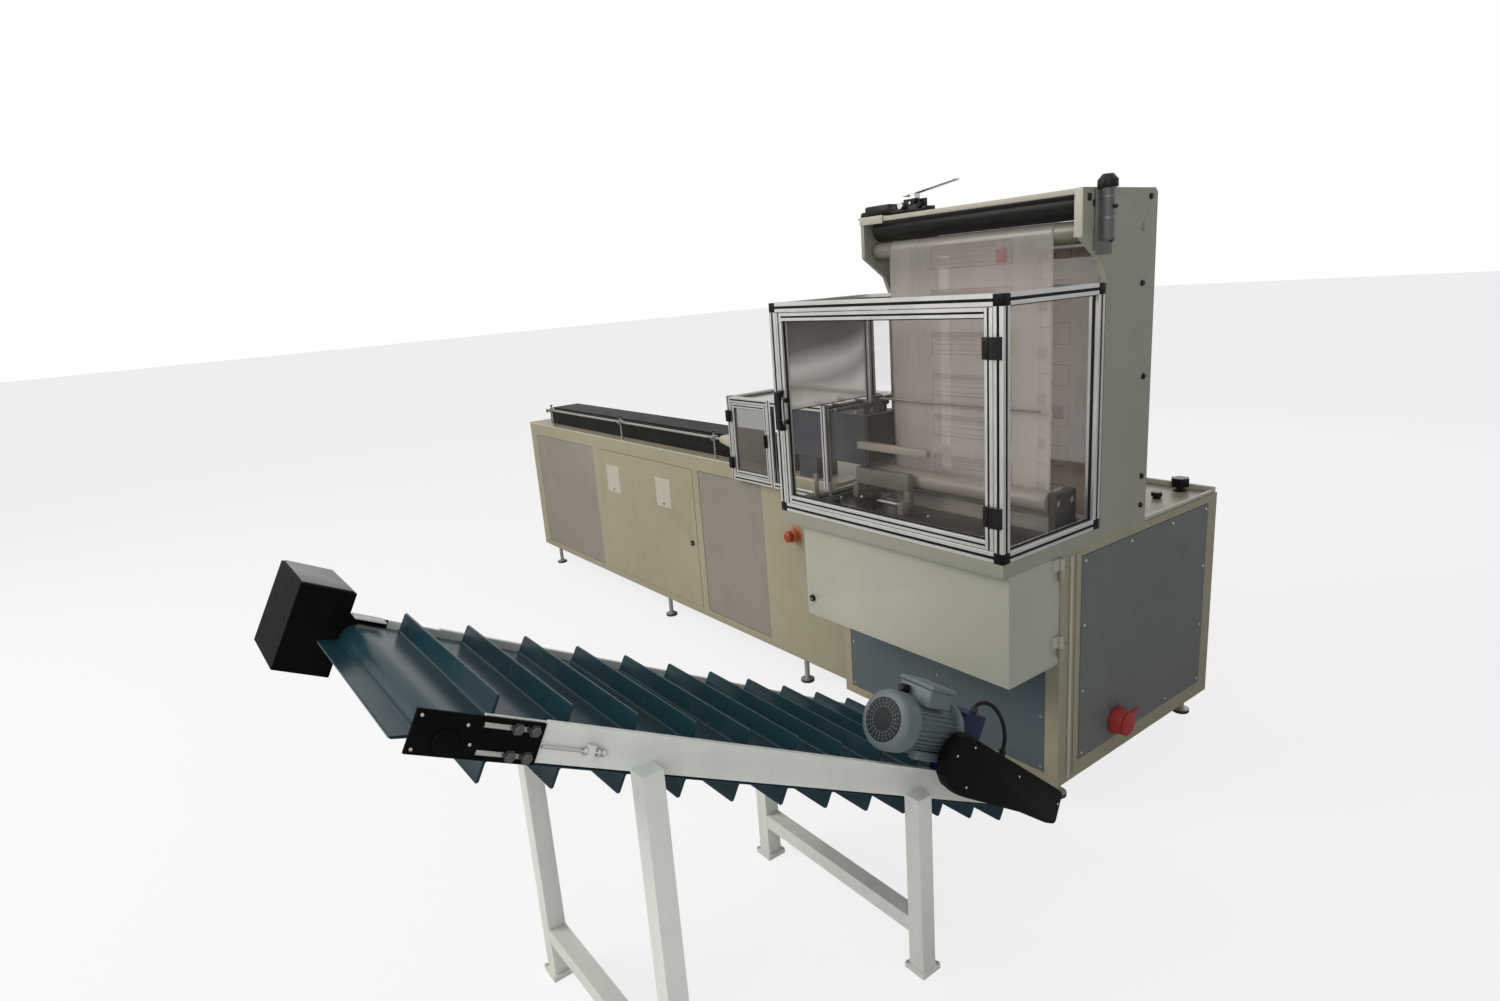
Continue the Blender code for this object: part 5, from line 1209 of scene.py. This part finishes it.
def belt_place(travel):
    """Run, rise and outward direction (run, rise) at a travel round the belt's outside."""
    travel %= LOOP
    if travel < CENTRES:
        return travel, BELT_TOP, (0.0, 1.0)
    travel -= CENTRES
    if travel < BEND:
        angle = math.pi / 2 - travel / BELT_TOP
        return (CENTRES + BELT_TOP * math.cos(angle), BELT_TOP * math.sin(angle),
                (math.cos(angle), math.sin(angle)))
    travel -= BEND
    if travel < CENTRES:
        return CENTRES - travel, -BELT_TOP, (0.0, -1.0)
    travel -= CENTRES
    angle = -math.pi / 2 - travel / BELT_TOP
    return BELT_TOP * math.cos(angle), BELT_TOP * math.sin(angle), (math.cos(angle), math.sin(angle))


def slope_direction(run, rise):
    return (0.0, -run * math.cos(SLOPE) + rise * math.sin(SLOPE),
            run * math.sin(SLOPE) + rise * math.cos(SLOPE))


def belt_band():
    """The belt's band alone: a closed loop with rounded edges, drawn on the slope."""
    stretches = ((0, CENTRES, 30), (CENTRES, BEND, 18), (CENTRES + BEND, CENTRES, 30),
                 (2 * CENTRES + BEND, BEND, 18))
    marks = [start + length * i / count for start, length, count in stretches for i in range(count)]
    section = [(-HALF_BELT, 0.0006), (-HALF_BELT + 0.0006, 0.0), (HALF_BELT - 0.0006, 0.0),
               (HALF_BELT, 0.0006), (HALF_BELT, BELT_THICK - 0.0006), (HALF_BELT - 0.0006, BELT_THICK),
               (-HALF_BELT + 0.0006, BELT_THICK), (-HALF_BELT, BELT_THICK - 0.0006)]
    shape = bmesh.new()
    rings = []
    for mark in marks:
        run, rise, (out_run, out_rise) = belt_place(mark)
        ring = []
        for x, depth in section:
            y, z = on_slope(run - out_run * depth, rise - out_rise * depth)
            ring.append(shape.verts.new((CONVEYOR_X + x, y, z)))
        rings.append(ring)
    skinned(shape, rings, True)
    bmesh.ops.recalc_face_normals(shape, faces=shape.faces)
    return shape


def cleat():
    """One cleat: x across the belt, z up off it, with swollen root and rounded tip."""
    half, height = 0.0025, CLEAT_HEIGHT
    right = [(half - 0.0012, height), (half, height - 0.0016), (half, 0.0050),
             (half + 0.0008, 0.0024), (half + 0.0030, 0.0010), (half + 0.0035, -0.0004)]
    outline = [(-a, b) for a, b in reversed(right)] + right
    shape = bmesh.new()
    ends = [(HALF_BELT - 0.009, 1.0), (HALF_BELT - 0.0045, 0.94), (HALF_BELT - 0.004, 0.55)]
    stations = [(-x, tall) for x, tall in reversed(ends)] + [(0.0, 1.0)] + ends
    rings = [[shape.verts.new((x, a, b if b < 0.006 else 0.006 + (b - 0.006) * tall))
              for a, b in outline] for x, tall in stations]
    skinned(shape, rings)
    bmesh.ops.recalc_face_normals(shape, faces=shape.faces)
    return shape


belt_plastic = coated("belt_plastic", (0.012, 0.040, 0.054), 0.22, 0.12, 0.08, 500.0, 0.00010,
                      specular=0.13)
assembled("conveyor_belt_band", "machine", [belt_plastic], [belt_band()], ["conveyor_belt"])
spots, facings = [], []
for i in range(CLEAT_COUNT):
    run, rise, (out_run, out_rise) = belt_place(CLEAT_PHASE + LOOP / CLEAT_COUNT * i)
    y, z = on_slope(run, rise)
    spots.append((CONVEYOR_X, y, z))
    facings.append(slope_direction(out_run, out_rise))
repeated("conveyor_cleats", "machine", belt_plastic, cleat(), spots, facings, RIGHT)
# A lighter strip along each cleat's tip: a painted highlight where the tips catch the light.
cleat_tip_highlight = coated("cleat_tip_painted_highlight", (0.10, 0.15, 0.155), 0.35, 0.25, 0.3, 500.0)
tip = block((-HALF_BELT + 0.007, -0.0014, CLEAT_HEIGHT - 0.0012),
            (HALF_BELT - 0.007, 0.0014, CLEAT_HEIGHT + 0.0002), 0.0005)
repeated("cleat_rubbed_tips", "machine", cleat_tip_highlight, tip, spots, facings, RIGHT)
drum_steel = metal("drum_steel", (0.40, 0.40, 0.39), 0.32, (6.0, 400.0, 400.0))
for node in ("tail_drum", "head_drum"):
    softened(node, node + "_turned", [drum_steel], 0.001)

# ---------------------------------------------------------------- take-up plates and head cover
# Black plates outside the upper end carry the head drum; each slides in its slots under bolts.
# The far one has the housing of the belt's end over it.
take_up_black = coated("take_up_black", (0.0055, 0.0055, 0.0050), 0.42, 0.08, 0.04, 420.0,
                       specular=0.015)
softened("take_up_plate", "take_up_sheet", [take_up_black], 0.0012)
softened("far_head_cover", "far_head_housing", [take_up_black], 0.003)
plate_x = side + 0.0063
upper, lower = FRAME_TOP - 0.0148, FRAME_TOP - 0.0578
bolts = [(plate_x, *on_slope(run, rise)) for rise in (upper, lower) for run in (1.402, 1.431)]
guides = [sloped(block((side + 0.0008, 1.399, rise - 0.0042), (side + 0.0035, 1.485, rise + 0.0042),
                       0.0008)) for rise in (upper, lower)]
assembled("take_up_slot_strips", "machine", [screw_steel], guides)
bolt_dark = coated("oiled_bolt", (0.11, 0.11, 0.105), 0.3, 0.1, 0.4, 300.0, metallic=0.7)
repeated("take_up_bolts", "machine", bolt_dark, hex_bolt(0.0085, 0.0075), bolts, RIGHT,
         slope_direction(1, 0))
screwed("take_up_small_screws", 0.003, 0.002,
        [(plate_x, *on_slope(run, rise)) for run, rise in
         ((1.512, upper - 0.002), (1.584, upper + 0.005), (1.584, lower - 0.003),
          (1.500, lower + 0.012))], RIGHT)
assembled("head_drum_cap", "machine", [take_up_black], [
    aimed(lathed([(0.020, 0), (0.020, 0.003), (0.017, 0.005), (0.010, 0.006)], 28),
          (plate_x, *on_slope(CENTRES, 0.0)), RIGHT)])
hood_x = far_side - 0.0063
assembled("far_housing_trim", "machine", [cylinder_grey, conveyor_white], [
    sloped(block((hood_x - 0.196, 1.562, 0.0845), (hood_x - 0.004, 1.657, 0.0870))),
    sloped(block((far_side + 0.008, 1.500, FRAME_TOP - 0.0005),
                 (far_side + 0.042, 1.560, FRAME_TOP + 0.004), 0.0015, 1))])

# ---------------------------------------------------------------- drive
# A finned motor with its fan cover up the slope, the terminal box on it, the worm gearbox, and
# the black case of the chain down to the tail drum.
MOTOR_X = CONVEYOR_X + 0.262 + 0.006
MOTOR_RISE = BELT_TOP + 0.107
CHAIN_NEAR = MOTOR_X + 0.0715
motor_enamel = coated("motor_enamel", (0.125, 0.155, 0.165), 0.42, 0.07, 0.3, 380.0, 0.0003)
fan_dark = coated("fan_dark", (0.020, 0.024, 0.026), 0.5, 0.1, 0.2, specular=0.15)


def by_motor(shape):
    """A shape drawn in (x, run, rise) from the motor's axis, laid beside the belt."""
    return sloped(moved(shape, Matrix.Translation((MOTOR_X, 0, MOTOR_RISE))))


def along_run(profile, sides=40, finish=0):
    """A shape turned about the motor's axis, from (radius, run) pairs."""
    turn = Matrix(((1, 0, 0, 0), (0, 0, 1, 0), (0, -1, 0, 0), (0, 0, 0, 1)))
    return by_motor(moved(lathed(profile, sides), turn, finish))


motor_shapes = [
    along_run([(0.048, 0.402), (0.070, 0.4025), (0.070, 0.415), (0.066, 0.4165), (0.056, 0.4165),
               (0.056, 0.546), (0.058, 0.549), (0.0655, 0.550), (0.0660, 0.553), (0.0660, 0.585),
               (0.0645, 0.591), (0.0605, 0.5955), (0.0535, 0.5985), (0.0480, 0.599)], 48),
    along_run([(0.0478, 0.5982), (0.0478, 0.5996), (0.0465, 0.6002), (0.0200, 0.6002),
               (0.0185, 0.6015), (0.0060, 0.602)], 40, 1),
    by_motor(block((-0.046, 0.444, 0.050), (0.046, 0.526, 0.090), 0.006, 0, 3)),
    by_motor(block((-0.049, 0.441, 0.088), (0.049, 0.529, 0.099), 0.004, 0, 3)),
    by_motor(bar((-0.020, 0.526, 0.072), (-0.020, 0.544, 0.072), 0.0105, 6, 2)),
    by_motor(bar((-0.020, 0.543, 0.072), (-0.020, 0.552, 0.072), 0.0085, 16, 2, 0.002)),
    by_motor(block((-0.050, 0.422, -0.0640), (-0.030, 0.522, -0.0440), 0.003)),
    by_motor(block((0.030, 0.422, -0.0640), (0.050, 0.522, -0.0440), 0.003))]
assembled("motor_housing", "machine", [motor_enamel, fan_dark, latch_black],
          motor_shapes, ["drive_motor"])


def motor_point(angle, radius, run):
    """A place round the motor's axis and its outward direction, at an angle in degrees."""
    a, b = math.cos(math.radians(angle)), math.sin(math.radians(angle))
    y, z = on_slope(run, MOTOR_RISE + radius * b)
    return (MOTOR_X + radius * a, y, z), (a, *slope_direction(0.0, b)[1:])


fins, outward = zip(*[motor_point(angle, 0.0552, 0.4815) for angle in range(0, 360, 10)
                      if not 48 < angle < 132])
repeated("motor_fins", "machine", motor_enamel,
         block((-0.0645, -0.0011, 0.0), (0.0645, 0.0011, 0.0070), 0.0005), fins, list(outward),
         slope_direction(1, 0))
slots = [motor_point(15 * i + math.degrees(radius * 40), radius, 0.6004)[0]
         for radius in (0.028, 0.035, 0.042) for i in range(24)]
repeated("fan_cover_grille", "machine", motor_enamel,
         block((-0.0010, -0.0022, -0.0008), (0.0010, 0.0022, 0.0008), 0.0003), slots,
         slope_direction(1, 0))
gearbox_blue = coated("gearbox_blue", (0.008, 0.014, 0.060), 0.36, 0.08, 0.2, 260.0, 0.0004,
                      specular=0.15)
softened("worm_gearbox", "gearbox_casting", [gearbox_blue], 0.003, segments=3)
screwed("gearbox_flange_screws", 0.0045, 0.004,
        [motor_point(angle, 0.058, 0.3915)[0] for angle in (45, 135, 225, 315)],
        slope_direction(-1, 0), finish=screw_black)
assembled("gearbox_ribs", "machine", [gearbox_blue],
          [by_motor(block((-0.0478, run, -0.048), (-0.044, run + 0.006, 0.048), 0.001))
           for run in (0.314, 0.332, 0.350, 0.368)])
chain_black = coated("chain_case_black", (0.0045, 0.0045, 0.0045), 0.45, 0.08, 0.08, 300.0,
                     specular=0.04)
softened("chain_guard", "chain_case", [chain_black], 0.0035, segments=3)
screwed("chain_case_screws", 0.0030, 0.0020,
        [(CHAIN_NEAR + 0.030, *on_slope(run, rise)) for run, rise in
         ((0.450, 0.112), (0.385, 0.046), (0.395, 0.136), (-0.015, 0.030), (0.190, 0.085))], RIGHT)


def lead_route():
    """The short lead's centre line: out of the gearbox, over in a bow and into the chain case."""
    top = MOTOR_RISE + 0.0562
    route = [(0.020, 0.322, top), (0.022, 0.318, top + 0.018), (0.034, 0.306, top + 0.030),
             (0.052, 0.292, top + 0.026), (0.070, 0.276, top + 0.004), (0.083, 0.266, top - 0.030),
             (0.086, 0.262, top - 0.0692)]
    points = []
    for i in range(len(route) - 1):
        a, b = Vector(route[i]), Vector(route[i + 1])
        before = Vector(route[max(i - 1, 0)])
        after = Vector(route[min(i + 2, len(route) - 1)])
        for step in range(5):
            t = step / 5
            points.append(0.5 * ((2 * a) + (b - before) * t + (2 * before - 5 * a + 4 * b - after)
                                 * t ** 2 + (3 * a - before - 3 * b + after) * t ** 3))
    points.append(Vector(route[-1]))
    return [TO_FRAME @ Vector((MOTOR_X + x, *on_slope(run, rise))) for x, run, rise in points]


lead_black = coated("lead_black", (0.006, 0.006, 0.006), 0.45, 0.05, 0.2, 900.0, specular=DULL)
points = lead_route()
line = bpy.data.curves.new("motor_lead", "CURVE")
line.dimensions = "3D"
line.bevel_depth = 0.0045
line.bevel_resolution = 4
line.use_fill_caps = True
spline = line.splines.new("POLY")
spline.points.add(len(points) - 1)
for place, point in zip(spline.points, points):
    place.co = (*point, 1)
line.materials.append(lead_black)
lead = bpy.data.objects.new("motor_lead", line)
bpy.context.scene.collection.objects.link(lead)
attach(lead, "machine")
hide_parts("motor_cable")
assembled("lead_glands", "machine", [latch_black], [
    by_motor(bar((0.020, 0.322, 0.0553), (0.0205, 0.321, 0.068), 0.0085, 6)),
    sloped(bar((MOTOR_X + 0.086, 0.262, 0.1245), (MOTOR_X + 0.0855, 0.2625, 0.1375), 0.0085, 6))])

# ---------------------------------------------------------------- room, lamps and camera
# A pale floor that keeps the machine's shadow, a white surround, and broad soft lamps: the main
# one high on the left in front, a weaker one on the right.
floor_mesh = bpy.data.meshes.new("floor")
floor_mesh.from_pydata([(-40, -40, 0), (40, -40, 0), (40, 40, 0), (-40, 40, 0)], [], [(0, 1, 2, 3)])
floor = bpy.data.objects.new("floor", floor_mesh)
bpy.context.scene.collection.objects.link(floor)
floor_finish, tree, shader = finish_named("pale_floor")
shader.inputs["Base Color"].default_value = (0.84, 0.84, 0.83, 1)
shader.inputs["Roughness"].default_value = 0.85
shader.inputs["Specular IOR Level"].default_value = 0.1
path = tree.nodes.new("ShaderNodeLightPath").outputs
glow = put(tree, "ShaderNodeEmission", {"Color": (1, 1, 1, 1), "Strength": 1.0})
mix = put(tree, "ShaderNodeMixShader", {0: times(tree, path["Is Camera Ray"], 0.80),
                                        1: shader.outputs[0], 2: glow.outputs[0]})
tree.links.new(mix.outputs[0], tree.nodes["Material Output"].inputs["Surface"])
floor_mesh.materials.append(floor_finish)

world = bpy.data.worlds.new("surround")
bpy.context.scene.world = world
world.use_nodes = True
tree = world.node_tree
path = tree.nodes.new("ShaderNodeLightPath").outputs
seen = worked(tree, "MAXIMUM", path["Is Camera Ray"],
              worked(tree, "MAXIMUM", path["Is Glossy Ray"], path["Is Transmission Ray"]))
soft = put(tree, "ShaderNodeBackground", {"Color": (0.96, 0.98, 1.0, 1), "Strength": 0.27})
white = put(tree, "ShaderNodeBackground", {"Color": (1, 1, 1, 1), "Strength": 1.0})
mix = put(tree, "ShaderNodeMixShader", {0: seen, 1: soft.outputs[0], 2: white.outputs[0]})
tree.links.new(mix.outputs[0], tree.nodes["World Output"].inputs["Surface"])


def lamp(name, place, target, size, power, colour=(1, 1, 1)):
    """A square soft lamp aimed at a place."""
    light = bpy.data.lights.new(name, "AREA")
    light.size = size
    light.energy = power
    light.color = colour
    made = bpy.data.objects.new(name, light)
    bpy.context.scene.collection.objects.link(made)
    made.location = TO_FRAME @ Vector(place)
    way = Vector(target) - Vector(place)
    made.rotation_euler = way.to_track_quat("-Z", "Y").to_euler()
    return made


lamp("main_lamp", (-3.4, -5.2, 4.4), (-1.3, 0.0, 0.9), 3.6, 235, (1.0, 0.965, 0.91))
lamp("ceiling_lamp", (-0.8, -0.9, 4.8), (-0.8, -0.4, 0.8), 4.5, 22)
lamp("right_lamp", (2.9, -3.6, 2.2), (-0.1, -1.3, 0.6), 2.2, 50, (0.95, 0.98, 1.0))
lamp("back_lamp", (-2.2, 6.0, 3.2), (-1.6, 0.4, 0.7), 3.0, 35)

AZIMUTH, TILT, ROLL = math.radians(53.859), math.radians(14.202), math.radians(-4.304)
forward = Vector((-math.sin(AZIMUTH) * math.cos(TILT), math.cos(AZIMUTH) * math.cos(TILT),
                  -math.sin(TILT)))
level = forward.cross(Vector(UP)).normalized()
upward = level.cross(forward)
cos, sin = math.cos(ROLL), math.sin(ROLL)
right_way = level * cos + upward * sin
up_way = upward * cos - level * sin
view = bpy.data.cameras.new("camera")
view.sensor_width = 36.0
view.lens = 20.6546
view.clip_end = 200.0
camera = bpy.data.objects.new("camera", view)
bpy.context.scene.collection.objects.link(camera)
turn = Matrix((right_way, up_way, -forward)).transposed().to_4x4()
camera.matrix_world = Matrix.Translation(TO_FRAME @ Vector((1.312, -2.0, 1.6))) @ turn
bpy.context.scene.camera = camera
bpy.context.scene.view_settings.view_transform = "Standard"
